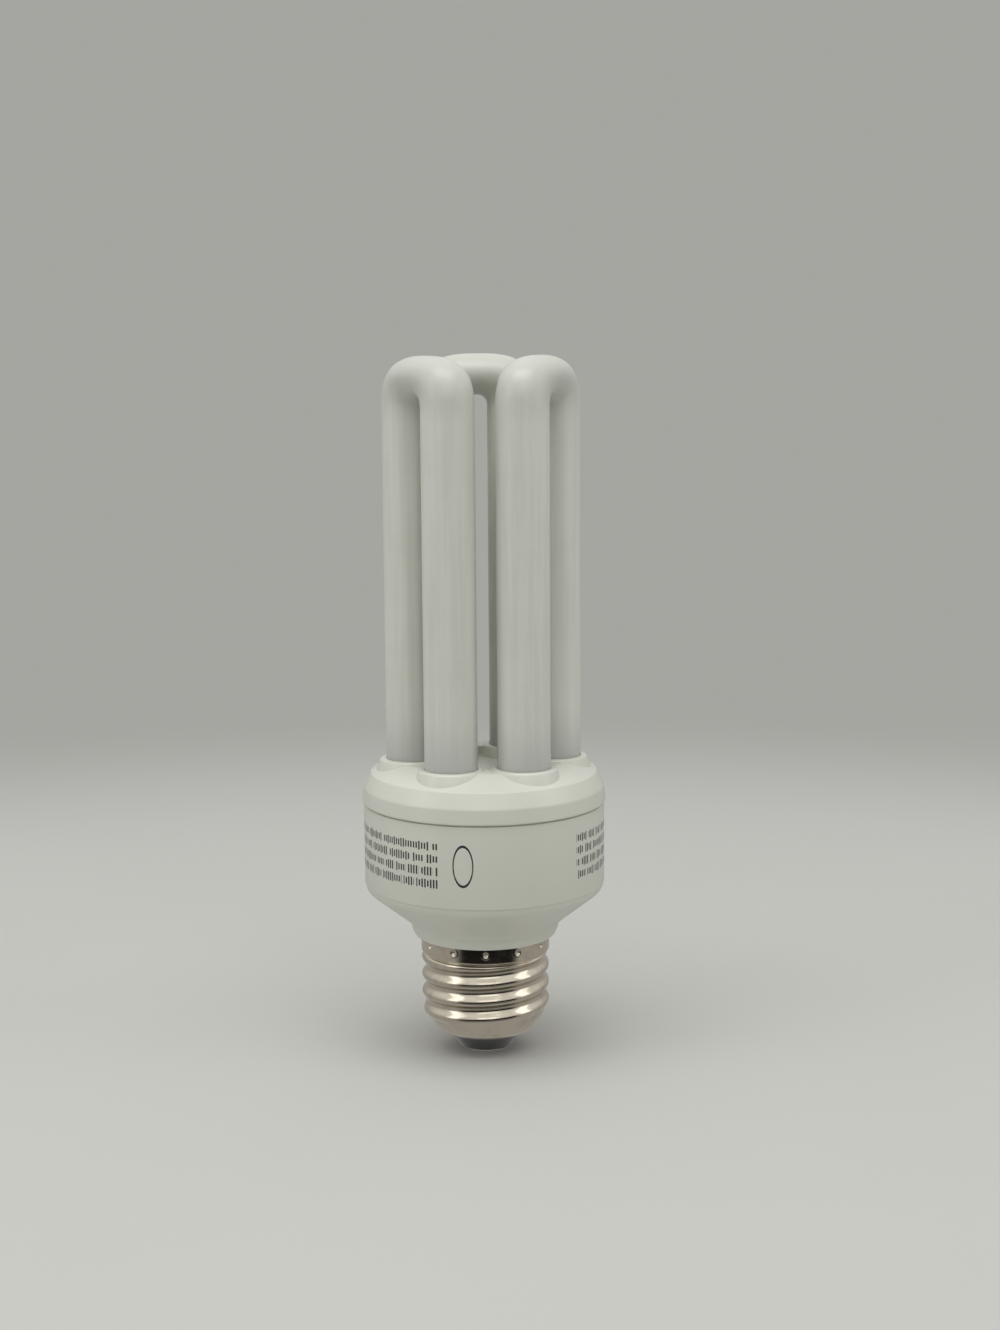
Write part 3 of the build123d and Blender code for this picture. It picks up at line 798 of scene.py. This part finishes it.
@dataclass
class ArcTube:
    """Three U-bent tubes on one circle, joined at their feet by two short bridges."""

    leg_radius: float = 5.27
    circle_radius: float = 14.5
    foot: float = 50.2
    foot_round: float = 2.4
    foot_steps: int = 4
    top: float = 142.15
    bend_thickness: float = 8.35
    squareness: float = 2.8
    sides: int = 64
    bend_steps: int = 44
    leg_steps: int = 6
    bridge_radius: float = 2.0
    bridge_height: float = 53.8
    bridge_bevel: float = 0.3
    bridge_angles: tuple[float, ...] = (30.0, 270.0)
    tube_angles: tuple[float, ...] = (0.0, 120.0, 240.0)
    half_spread: float = 30.0

    @property
    def gap(self) -> float:
        """Half the space between the two legs of a U."""
        return self.circle_radius / 2 - self.leg_radius

    @property
    def crotch(self) -> float:
        """Height of the centre that the bend goes round."""
        return self.top - self.bend_thickness - self.gap

    @property
    def reach(self) -> float:
        """Distance of a U's plane from the lamp's axis."""
        return self.circle_radius * math.cos(math.radians(self.half_spread))

    def outer(self, turn: float) -> float:
        """Returns how far the bend's outer wall is from the crotch centre at an angle in radians."""
        wide = self.circle_radius / 2 + self.leg_radius
        tall = self.gap + self.bend_thickness
        share = abs(math.cos(turn) / wide) ** self.squareness + abs(math.sin(turn) / tall) ** self.squareness
        return share ** (-1 / self.squareness)

    def ring_centre(self, turn: float) -> Vector:
        """Returns the middle of the bend's section at an angle, in millimetres."""
        middle = (self.gap + self.outer(turn)) / 2
        return Vector((middle * math.cos(turn), self.reach, self.crotch + middle * math.sin(turn)))

    def move_ring(self, step: Vector) -> None:
        """Extrudes the selected ring by a step in millimetres."""
        bpy.ops.mesh.extrude_region_move(TRANSFORM_OT_translate={"value": tuple(step * MM)})

    def shape_ring(self, centre: Vector, old: tuple[float, float], new: tuple[float, float]) -> None:
        """Turns and squeezes the selected ring about its centre.

        Args:
            centre: the ring's middle in millimetres.
            old: the ring's turn in radians and half thickness so far.
            new: its turn and half thickness from here on.
        """
        pivot = tuple(centre * MM)
        turn = {"orient_axis": Axis.Y.name, "center_override": pivot}
        bpy.ops.transform.rotate(value=-old[0], **turn)
        bpy.ops.transform.resize(value=(new[1] / old[1], 1, 1), center_override=pivot)
        bpy.ops.transform.rotate(value=new[0], **turn)

    def close_foot(self) -> None:
        """Rounds and closes the foot below the selected ring."""
        for step in range(1, self.foot_steps + 1):
            before = math.radians(90 * (step - 1) / self.foot_steps)
            here = math.radians(90 * step / self.foot_steps)
            inset_before = self.leg_radius - self.foot_round * (1 - math.cos(before))
            inset_here = self.leg_radius - self.foot_round * (1 - math.cos(here))
            self.move_ring(Vector((0, 0, -self.foot_round * (math.sin(here) - math.sin(before)))))
            share = inset_here / inset_before
            bpy.ops.transform.resize(value=(share, share, 1), center_override=self.selected_middle())
        bpy.ops.mesh.edge_face_add()

    def selected_middle(self) -> tuple[float, float, float]:
        """Returns the middle of the selected vertices, in metres."""
        bpy.ops.object.mode_set(mode="OBJECT")
        chosen = [vertex.co for vertex in bpy.context.object.data.vertices if vertex.select]
        middle = sum(chosen, Vector()) / len(chosen)
        bpy.ops.object.mode_set(mode="EDIT")
        return tuple(middle)

    def one_tube(self) -> bpy.types.Object:
        """Returns one U, its plane across the +Y axis."""
        deselect()
        half = self.circle_radius / 2
        bpy.ops.mesh.primitive_circle_add(
            vertices=self.sides,
            radius=self.leg_radius * MM,
            location=(half * MM, self.reach * MM, (self.foot + self.foot_round) * MM),
        )
        tube = bpy.context.object
        apply_place()
        bpy.ops.object.mode_set(mode="EDIT")
        bpy.ops.mesh.select_all(action="SELECT")
        start = Vector((half, self.reach, self.foot + self.foot_round))
        leg = self.ring_centre(0.0) - start
        for _ in range(self.leg_steps):
            self.move_ring(leg / self.leg_steps)
        state = (0.0, self.leg_radius)
        for step in range(1, self.bend_steps + 1):
            turn = math.pi * step / self.bend_steps
            before = self.ring_centre(math.pi * (step - 1) / self.bend_steps)
            centre = self.ring_centre(turn)
            self.move_ring(centre - before)
            now = (turn, (self.outer(turn) - self.gap) / 2)
            self.shape_ring(centre, state, now)
            state = now
        for _ in range(self.leg_steps):
            self.move_ring(Vector((0, 0, -leg.z / self.leg_steps)))
        self.close_foot()
        foot_ring = start.z
        select_vertices(tube, lambda place: abs(place.z - foot_ring) < NEAR and place.x > 0)
        self.close_foot()
        return settle(tube)

    def bridge(self, angle: float) -> bpy.types.Object:
        """Returns the short tube between the feet on both sides of an angle."""
        first = Vector((*on_circle(self.circle_radius, angle - self.half_spread), self.bridge_height))
        last = Vector((*on_circle(self.circle_radius, angle + self.half_spread), self.bridge_height))
        deselect()
        bpy.ops.mesh.primitive_cylinder_add(
            vertices=32, radius=self.bridge_radius * MM, depth=(last - first).length * MM
        )
        tube = bpy.context.object
        tube.matrix_world = Matrix.Translation((first + last) / 2 * MM) @ (
            (last - first).to_track_quat("Z", "Y").to_matrix().to_4x4()
        )
        apply_place()
        edit(tube)
        bpy.ops.mesh.select_all(action="SELECT")
        bpy.ops.mesh.bevel(offset=self.bridge_bevel * MM, segments=3)
        return settle(tube)

    def build(self) -> None:
        """Builds the tubes and hands them over."""
        first = self.one_tube()
        tubes = [first] + [copy_turned(first, angle) for angle in self.tube_angles[1:]]
        bridges = [self.bridge(angle) for angle in self.bridge_angles]
        whole = join(tubes + bridges)
        whole.name = whole.data.name = "bent_tubes"
        dress(whole, CoatedGlass().make())
        hand_over(whole, "phosphor_glass", "arc_tube")


@dataclass
class Cover:
    """Upper housing: rim, crown, step and the platform with its six sockets."""

    seam: float = 52.1
    seam_gap: float = 0.3
    rim_radius: float = 24.75
    rim_height: float = 0.7
    crown_radius: float = 24.45
    crown_height: float = 3.3
    step_radius: float = 22.95
    step_height: float = 6.4
    step_depth: float = 0.3
    platform_radius: float = 17.0
    platform: float = 61.05
    wall_radius: float = 22.9
    lip: float = 54.2
    lip_slope: float = 1.6
    lip_wall: float = 0.8
    fit: float = 0.1
    groove_depth: float = 0.6
    roof: float = 57.65
    roof_radius: float = 21.0
    recess_radius: float = 11.5
    recess_depth: float = 1.9
    recess_draft: float = 0.1
    socket_radius: float = 6.52
    socket_foot_radius: float = 7.42
    socket_lip: float = 0.25
    socket_drop: float = 2.6
    socket_bevel: float = 0.4
    leg_circle: float = 14.5
    hole_radius: float = 5.37
    hole_spare: float = 1.0
    legs: int = 6

    def profile(self) -> list[tuple[float, float]]:
        """Returns the turned profile, from the roof's middle round to the recess."""
        step_top = self.seam + self.step_height
        corners = [
            Corner(0.0, self.roof),
            Corner(self.roof_radius, self.roof, 1.0),
            Corner(self.wall_radius + self.fit, self.lip + self.fit + self.lip_slope),
            Corner(self.wall_radius + self.fit + self.lip_wall, self.lip + self.fit),
            Corner(self.wall_radius + self.fit + self.lip_wall, self.seam),
            Corner(self.rim_radius - self.groove_depth - self.fit, self.seam),
            Corner(self.rim_radius - self.groove_depth, self.seam + self.seam_gap),
            Corner(self.rim_radius, self.seam + self.seam_gap, 0.12, 4),
            Corner(self.rim_radius, self.seam + self.rim_height, 0.3),
            Corner(self.crown_radius, self.seam + self.crown_height, 1.8, 14),
            Corner(self.step_radius, step_top, 0.3),
            Corner(self.step_radius - self.step_depth, step_top, 0.12, 4),
            Corner(self.platform_radius, self.platform, 1.5, 10),
            Corner(self.recess_radius, self.platform, 0.35),
            Corner(self.recess_radius - self.recess_draft, self.platform - self.recess_depth, 0.4),
            Corner(0.0, self.platform - self.recess_depth),
        ]
        return rounded(corners, False)

    def socket(self, angle: float) -> bpy.types.Object:
        """Returns the boss round one leg, its rim rounded over."""
        top = self.platform + self.socket_lip
        middle = on_circle(self.leg_circle, angle)
        deselect()
        bpy.ops.mesh.primitive_cone_add(
            vertices=96,
            radius1=self.socket_foot_radius * MM,
            radius2=self.socket_radius * MM,
            depth=self.socket_drop * MM,
            location=(middle[0] * MM, middle[1] * MM, (top - self.socket_drop / 2) * MM),
        )
        boss = bpy.context.object
        apply_place()
        edit(boss)
        select_vertices(boss, lambda place: place.z > top - NEAR)
        bpy.ops.mesh.bevel(offset=self.socket_bevel * MM, segments=5, profile=0.5)
        deselect()
        return boss

    def build(self) -> None:
        """Builds the cover and hands it over."""
        cover = turn_profile("platform_cover", self.profile())
        settle(cover)
        angles = [360 / self.legs * index for index in range(self.legs)]
        for angle in angles:
            combine(cover, self.socket(angle), Cut.ADD)
        bottom = self.roof - self.hole_spare
        top = self.platform + self.hole_spare
        for angle in angles:
            hole = add_cylinder(self.hole_radius, bottom, top, on_circle(self.leg_circle, angle), 96)
            combine(cover, hole, Cut.TAKE)
        deliver(cover, MouldedPlastic(), "white_housing", "tube_cover", 35.0)


@dataclass
class Housing:
    """Lower housing: body, bowl and neck in one moulding."""

    cap_top: float = 24.4
    spigot_length: float = 8.5
    spigot_radius: float = 11.7
    spigot_bore: float = 10.2
    lip_radius: float = 14.4
    neck_radius: float = 15.1
    neck_round: float = 1.5
    neck_height: float = 2.6
    bowl_radius: float = 24.3
    bowl_corner: float = 34.3
    body_radius: float = 24.5
    body_bottom: float = 35.5
    seam: float = 52.1
    wall: float = 1.6
    lip_wall: float = 0.8
    lip_height: float = 2.1
    floor_inner: float = 35.23
    floor_neck: float = 25.16

    def profile(self) -> list[tuple[float, float]]:
        """Returns the closed profile of the wall."""
        inner = self.body_radius - self.wall
        corners = [
            Corner(self.spigot_bore, self.cap_top - self.spigot_length),
            Corner(self.spigot_radius, self.cap_top - self.spigot_length, 0.4),
            Corner(self.spigot_radius, self.cap_top),
            Corner(self.lip_radius, self.cap_top, 0.3),
            Corner(self.neck_radius, self.cap_top + self.neck_round, 1.5, 12),
            Corner(self.neck_radius, self.cap_top + self.neck_height, 0.8),
            Corner(self.bowl_radius, self.bowl_corner, 2.0, 14),
            Corner(self.bowl_radius, self.body_bottom, 0.05, 2),
            Corner(self.body_radius, self.body_bottom, 0.12, 4),
            Corner(self.body_radius, self.seam, 0.2, 5),
            Corner(inner + self.lip_wall, self.seam),
            Corner(inner + self.lip_wall, self.seam + self.lip_height),
            Corner(inner, self.seam + self.lip_height),
            Corner(inner, self.floor_inner, 2.0),
            Corner(self.spigot_bore, self.floor_neck, 1.0),
        ]
        return rounded(corners, True)

    def build(self) -> None:
        """Builds the housing and hands it over."""
        housing = turn_profile("ballast_shell", self.profile(), closed=True)
        deliver(housing, PrintedPlastic(), "white_housing", "ballast_housing")


@dataclass
class KnuckleShell:
    """Rolled shell of the screw cap with its round thread and punched collar."""

    bottom: float = 3.6
    mouth_radius: float = 7.95
    knee_radius: float = 10.45
    knee: float = 4.9
    taper_top: float = 8.0
    root_radius: float = 12.25
    crest_radius: float = 13.1
    pitch: float = 25.4 / 7
    crest_angle: float = -93.9
    crest_height: float = 9.4
    run_in_angle: float = 150.0
    run_in_length: float = 110.0
    run_out_gap: float = 0.15
    run_out_height: float = 0.7
    collar_bottom: float = 21.1
    collar_shoulder: float = 0.5
    collar_radius: float = 13.2
    collar_top_radius: float = 12.98
    top: float = 24.4
    wall: float = 0.45
    stakes: int = 12
    stake_angle: float = -93.1
    stake_height: float = 23.0
    stake_radius: float = 0.62
    stake_depth: float = 0.38
    ridge_height: float = 0.05
    ridge_place: float = 1.15
    ridge_width: float = 0.22
    edge: float = 0.05
    steps: int = 384
    row: float = 0.17

    def outer(self) -> list[tuple[float, float]]:
        """Returns the outer profile from the mouth to the top edge, without the thread."""
        corners = [
            Corner(self.mouth_radius, self.bottom),
            Corner(self.knee_radius, self.knee, 2.5, 10),
            Corner(self.root_radius, self.taper_top, 1.5),
            Corner(self.root_radius, self.collar_bottom - self.collar_shoulder, 0.4),
            Corner(self.collar_radius, self.collar_bottom, 0.35),
            Corner(self.collar_top_radius, self.top),
        ]
        return self.dense(rounded(corners, False))

    def inner(self) -> list[tuple[float, float]]:
        """Returns the inner profile from the top edge back to the mouth."""
        bore = self.root_radius - self.wall
        corners = [
            Corner(bore, self.top),
            Corner(bore, self.taper_top, 1.5),
            Corner(self.knee_radius - self.wall, self.knee + self.wall, 2.0),
            Corner(self.mouth_radius - self.wall, self.bottom),
        ]
        return rounded(corners, False)

    def dense(self, points: Sequence[tuple[float, float]]) -> list[tuple[float, float]]:
        """Returns the profile with points no further apart than a row."""
        result = [points[0]]
        for first, last in zip(points, points[1:]):
            length = math.dist(first, last)
            count = max(1, math.ceil(length / self.row))
            for step in range(1, count + 1):
                share = step / count
                result.append(tuple(a + (b - a) * share for a, b in zip(first, last)))
        return result

    def thread(self, angle: float, height: float) -> float:
        """Returns how far the thread stands out of the wall.

        Args:
            angle: round the axis, in degrees.
            height: in millimetres.

        Returns:
            The rise in millimetres.
        """
        crest = self.crest_height + (angle - self.crest_angle) / 360 * self.pitch
        phase = ((height - crest) / self.pitch + 0.5) % 1.0 - 0.5
        turn = (height - crest) / self.pitch - phase
        along = turn * 360 + angle - self.crest_angle
        start = self.smooth((along + self.run_in_angle) / self.run_in_length)
        stop = self.smooth((self.collar_bottom - self.run_out_gap - height) / self.run_out_height)
        bead = math.cos(phase * TURN) * 0.5 + 0.5
        return (self.crest_radius - self.root_radius) * bead * start * stop

    @staticmethod
    def smooth(share: float) -> float:
        """Returns a soft step of a share between 0 and 1."""
        held = min(max(share, 0.0), 1.0)
        return held * held * (3 - 2 * held)

    def punch(self, angle: float, height: float) -> float:
        """Returns how deep the nearest punch mark is here."""
        step = 360 / self.stakes
        off = (angle - self.stake_angle + step / 2) % step - step / 2
        across = math.radians(off) * self.collar_radius
        away = math.hypot(across, height - self.stake_height)
        off_ridge = (away - self.ridge_place * self.stake_radius) / self.ridge_width
        ridge = self.ridge_height * math.exp(-(off_ridge**2))
        if away > 2 * self.stake_radius:
            return 0.0
        hollow = self.stake_depth * (1 - self.smooth(away / self.stake_radius))
        return hollow - ridge

    def roll(self, shell: bpy.types.Object) -> None:
        """Rolls the thread into the shell's outer wall and punches the collar."""
        bore = self.root_radius - self.wall
        for vertex in shell.data.vertices:
            place = vertex.co / MM
            radius = math.hypot(place.x, place.y)
            angle = math.degrees(math.atan2(place.y, place.x))
            on_taper = place.z < self.taper_top and radius > self.taper_wall(place.z)
            on_outside = radius > bore + 2 * self.edge or on_taper
            if not on_outside or place.z > self.top - self.edge:
                continue
            target = radius
            if place.z < self.collar_bottom:
                target += self.thread(angle, place.z)
            else:
                target -= self.punch(angle, place.z)
            share = target / radius
            vertex.co.x *= share
            vertex.co.y *= share

    def taper_wall(self, height: float) -> float:
        """Returns the middle radius of the tapered wall at a height."""
        share = (height - self.knee) / (self.taper_top - self.knee)
        return self.knee_radius + (self.root_radius - self.knee_radius) * share - self.wall / 2

    def build(self) -> None:
        """Builds the shell and hands it over."""
        shell = turn_profile("knuckle_shell", self.outer() + self.inner(), self.steps, closed=True)
        self.roll(shell)
        finish = Plate("nickel_plate", (0.72, 0.655, 0.55), (0.50, 0.435, 0.34))
        deliver(shell, finish, "nickel", "screw_shell", 40.0)


@dataclass
class CapEnd:
    """End of the screw cap: glass insulator, contact disc and solder drop."""

    end_radius: float = 5.3
    end: float = 0.5
    mouth_radius: float = 7.4
    mouth: float = 3.6
    knee_radius: float = 9.9
    knee: float = 5.45
    inner_top: float = 6.9
    hole_radius: float = 0.9
    contact_radius: float = 4.8
    contact_thickness: float = 0.9
    contact_fit: float = 0.1

    def insulator(self) -> None:
        """Builds the glass and hands it over."""
        corners = [
            Corner(self.hole_radius, self.contact_thickness),
            Corner(self.contact_radius + self.contact_fit, self.contact_thickness),
            Corner(self.contact_radius + self.contact_fit, self.end, 0.05, 3),
            Corner(self.end_radius, self.end, 0.28),
            Corner(self.mouth_radius, self.mouth),
            Corner(self.knee_radius, self.knee, 0.6),
            Corner(self.knee_radius, self.inner_top, 1.0),
            Corner(self.hole_radius, self.inner_top),
        ]
        glass = turn_profile("insulator_glass", rounded(corners, True), 128, closed=True)
        finish = Body("black_glass", (0.007, 0.007, 0.008), (0.016, 0.016, 0.018), 0.16, 3.0, relief=0.03, coat=0.05)
        deliver(glass, finish, "black_glass", "cap_insulator")

    def contact(self) -> None:
        """Builds the disc and hands it over."""
        corners = [
            Corner(self.hole_radius, 0.12, 0.08, 3),
            Corner(2.2, 0.0, 3.0, 6),
            Corner(3.9, 0.0, 1.0, 6),
            Corner(self.contact_radius, 0.25, 0.3, 6),
            Corner(self.contact_radius, self.contact_thickness, 0.1, 3),
            Corner(self.hole_radius, self.contact_thickness),
        ]
        disc = turn_profile("contact_disc", rounded(corners, True), 128, closed=True)
        finish = Plate("contact_plate", (0.74, 0.70, 0.62), (0.52, 0.47, 0.40), 0.24, (1, 1, 1))
        deliver(disc, finish, "contact_tin", "centre_contact")

    def solder(self) -> None:
        """Builds the solder drop and hands it over."""
        corners = [
            Corner(0.0, 0.02),
            Corner(0.7, 0.04, 1.2, 6),
            Corner(0.85, 0.25, 0.2, 4),
            Corner(0.85, 1.7, 0.1, 3),
            Corner(0.0, 1.7),
        ]
        drop = turn_profile("solder_drop", rounded(corners, False), 48)
        finish = Plate("solder_metal", (0.66, 0.66, 0.65), (0.42, 0.42, 0.41), 0.30, (1, 1, 1))
        deliver(drop, finish, "solder", "contact_solder")


@dataclass
class Ballast:
    """The parts sealed inside, which keep their CAD meshes and get their own finishes."""

    def finishes(self) -> dict[str, Finish]:
        """Returns the finish of each CAD node that stays."""
        copper = Windings()
        ferrite = Body("ferrite", (0.055, 0.055, 0.06), (0.10, 0.10, 0.105), 0.55, 1.2, relief=0.03)
        film = Body("dipped_film", (0.42, 0.075, 0.035), (0.30, 0.05, 0.025), 0.25, 2.5, relief=0.05, coat=0.5)
        tin = Body(
            "tinned_wire", (0.70, 0.70, 0.68), (0.55, 0.55, 0.54), 0.28, 0.8, (1.0, 1.0, 0.2), 0.01, metallic=1.0
        )
        return {
            "tube_cement": Body("tube_cement", (0.72, 0.70, 0.62), (0.62, 0.60, 0.52), 0.85, 1.5, relief=0.15),
            "circuit_board": Body(
                "board_laminate", (0.52, 0.38, 0.19), (0.44, 0.31, 0.15), 0.45, 1.4, (1.0, 0.25, 1.0), 0.02
            ),
            "electrolytic_capacitor": Body(
                "can_sleeve", (0.022, 0.026, 0.05), (0.035, 0.04, 0.07), 0.22, 3.0, relief=0.02, coat=0.3
            ),
            "choke_core": ferrite,
            "drive_toroid": ferrite,
            "choke_bobbin": Body("bobbin_nylon", (0.74, 0.71, 0.62), (0.66, 0.63, 0.54), 0.42, 3.0),
            "choke_winding": copper,
            "toroid_coils": copper,
            "starting_capacitor": film,
            "filter_capacitor": film,
            "power_transistors": Body("moulded_epoxy", (0.02, 0.02, 0.022), (0.04, 0.04, 0.042), 0.5, 1.0),
            "rectifier_diodes": BandedBody(
                "diode_body", (0.025, 0.025, 0.028), ((-1.9, 0.55, (0.62, 0.62, 0.60)),), 0.38
            ),
            "resistors": BandedBody(
                "resistor_body",
                (0.66, 0.50, 0.28),
                (
                    (8.7, 0.45, (0.22, 0.10, 0.04)),
                    (9.9, 0.45, (0.02, 0.02, 0.02)),
                    (11.1, 0.45, (0.50, 0.06, 0.03)),
                    (12.9, 0.45, (0.55, 0.38, 0.09)),
                ),
            ),
            "fuse_resistor": Body("fuse_body", (0.20, 0.34, 0.28), (0.15, 0.27, 0.22), 0.40, 1.5, relief=0.04),
            "centre_lead": tin,
            "shell_lead": Body("lead_insulation", (0.03, 0.04, 0.30), (0.02, 0.03, 0.22), 0.35, 2.0),
            "wrap_pins": tin,
            "filament_leads": tin,
        }

    def build(self) -> None:
        """Dresses the sealed parts."""
        made: dict[str, bpy.types.Material] = {}
        for node, finish in self.finishes().items():
            if finish.name not in made:
                made[finish.name] = finish.make()
            dress(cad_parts[node], made[finish.name])
            LOG.info("%s keeps its CAD mesh in %s", node, finish.name)


# ---- Studio ----


@dataclass(frozen=True)
class Softbox:
    """One rectangular light: its place and sides in millimetres and its power in watts."""

    name: str
    place: tuple[float, float, float]
    size: tuple[float, float]
    power: float


@dataclass
class Studio:
    """Table top, room, lights and camera."""

    table_radius: float = 520.0
    table_drop: float = 0.05
    wall_colour: Colour = (0.38, 0.378, 0.355)
    lower_colour: Colour = (0.60, 0.60, 0.575)
    ambient_low: Colour = (0.34, 0.34, 0.333)
    ambient_high: Colour = (0.68, 0.68, 0.665)
    mirror_low: Colour = (0.37, 0.365, 0.35)
    mirror_high: Colour = (0.80, 0.80, 0.78)
    mirror_dark: Colour = (0.008, 0.008, 0.008)
    mirror_shelf: Colour = (0.15, 0.148, 0.14)
    mirror_glow: Colour = (1.40, 1.38, 1.33)
    dark_bottom: tuple[float, float] = (-0.33, -0.26)
    dark_top: tuple[float, float] = (0.20, 0.32)
    focal_pixels: float = 2200.0
    frame_height: float = 1330.0
    sensor: float = 36.0
    eye: tuple[float, float, float] = (-26.3, -438.5, 151.3)
    pitch: float = 9.23
    heading: float = -3.88
    roll: float = -0.40
    clip: tuple[float, float] = (0.01, 20.0)
    lights_aim: tuple[float, float, float] = (0.0, 0.0, 70.0)
    softboxes: tuple[Softbox, ...] = (
        Softbox("top_softbox", (-40.0, -160.0, 600.0), (520.0, 300.0), 1.5),
        Softbox("left_softbox", (-520.0, -200.0, 330.0), (220.0, 420.0), 0.30),
        Softbox("right_softbox", (520.0, -160.0, 330.0), (220.0, 420.0), 0.24),
    )

    def table(self) -> None:
        """Builds the table top, which fades out into the room and isn't part of the lamp."""
        deselect()
        bpy.ops.mesh.primitive_circle_add(
            vertices=96, radius=self.table_radius * MM, fill_type="NGON", location=(0, 0, -self.table_drop * MM)
        )
        table = bpy.context.object
        table.name = "table_top"
        apply_place()
        dress(table, TablePaint().make())
        table.visible_glossy = False

    def room(self) -> None:
        """Lights the world: brighter overhead, plain behind the lamp, dark in front for the metal.

        Heights and sides below are those of a ray's direction, from -1 to 1.
        """
        world = bpy.data.worlds.new("studio_room")
        bpy.context.scene.world = world
        world.use_nodes = True
        sheet = MaterialSheet(world.node_tree)
        direction = sheet.node("ShaderNodeTexCoord", {}, {}).outputs["Generated"]
        split = sheet.node("ShaderNodeSeparateXYZ", {}, {0: direction})
        x, y, z = (Value(sheet, output) for output in split.outputs)
        paths = sheet.node("ShaderNodeLightPath", {}, {})
        seen = Value(sheet, paths.outputs["Is Camera Ray"])
        mirrored = Value(sheet, paths.outputs["Is Glossy Ray"])
        backdrop = sheet.mix(z.smooth(-0.27, -0.18), self.lower_colour, self.wall_colour)
        ambient = sheet.mix(z.smooth(-0.1, 0.9), self.ambient_low, self.ambient_high)
        ahead = 0.0 - y
        front = ahead.smooth(0.50, 0.70)
        shelf = ahead.smooth(0.25, 0.60) * z.smooth(-0.95, -0.70) * (1 - z.smooth(*self.dark_bottom))
        glow = front * z.band(0.34, 0.42, 0.62, 0.72) * (1 - abs(x).smooth(0.22, 0.36))
        pale = sheet.mix(z.smooth(-0.1, 0.7), self.mirror_low, self.mirror_high)
        lit = sheet.mix(glow, pale, self.mirror_glow)
        floor = sheet.mix(shelf, lit, self.mirror_shelf)
        mirror = sheet.mix(front * z.band(*self.dark_bottom, *self.dark_top), floor, self.mirror_dark)
        unseen = sheet.mix(mirrored, ambient, mirror)
        colour = sheet.mix(seen, unseen, backdrop)
        shader = sheet.node("ShaderNodeBackground", {}, {"Color": colour, "Strength": 1.0})
        sheet.node("ShaderNodeOutputWorld", {}, {"Surface": shader.outputs[0]})

    def light(self, softbox: Softbox) -> None:
        """Adds one soft rectangular light that faces the lamp's middle."""
        data = bpy.data.lights.new(softbox.name, "AREA")
        data.shape = "RECTANGLE"
        data.size, data.size_y = (side * MM for side in softbox.size)
        data.energy = softbox.power
        holder = bpy.data.objects.new(softbox.name, data)
        bpy.context.collection.objects.link(holder)
        holder.location = Vector(softbox.place) * MM
        aim = Vector(self.lights_aim) - Vector(softbox.place)
        holder.rotation_euler = aim.to_track_quat("-Z", "Y").to_euler()

    def camera(self) -> None:
        """Sets the camera where the photograph was taken from."""
        data = bpy.data.cameras.new("photo_camera")
        data.sensor_width = self.sensor
        data.lens = self.focal_pixels / self.frame_height * self.sensor
        data.clip_start, data.clip_end = self.clip
        camera = bpy.data.objects.new("photo_camera", data)
        bpy.context.collection.objects.link(camera)
        turned = Axis.Z.turn(self.heading) @ Axis.X.turn(90 - self.pitch) @ Axis.Z.turn(self.roll)
        camera.matrix_world = Matrix.Translation(Vector(self.eye) * MM) @ turned
        bpy.context.scene.camera = camera

    def build(self) -> None:
        """Builds the studio."""
        self.camera()
        self.table()
        self.room()
        for softbox in self.softboxes:
            self.light(softbox)
        bpy.context.scene.view_settings.view_transform = "Standard"


def main() -> None:
    """Builds the studio and every piece."""
    logging.basicConfig(level=logging.INFO, format="%(name)s: %(message)s")
    Studio().build()
    ArcTube().build()
    Cover().build()
    Housing().build()
    KnuckleShell().build()
    end = CapEnd()
    end.insulator()
    end.contact()
    end.solder()
    Ballast().build()
    deselect()


if __name__ == "__main__":
    main()
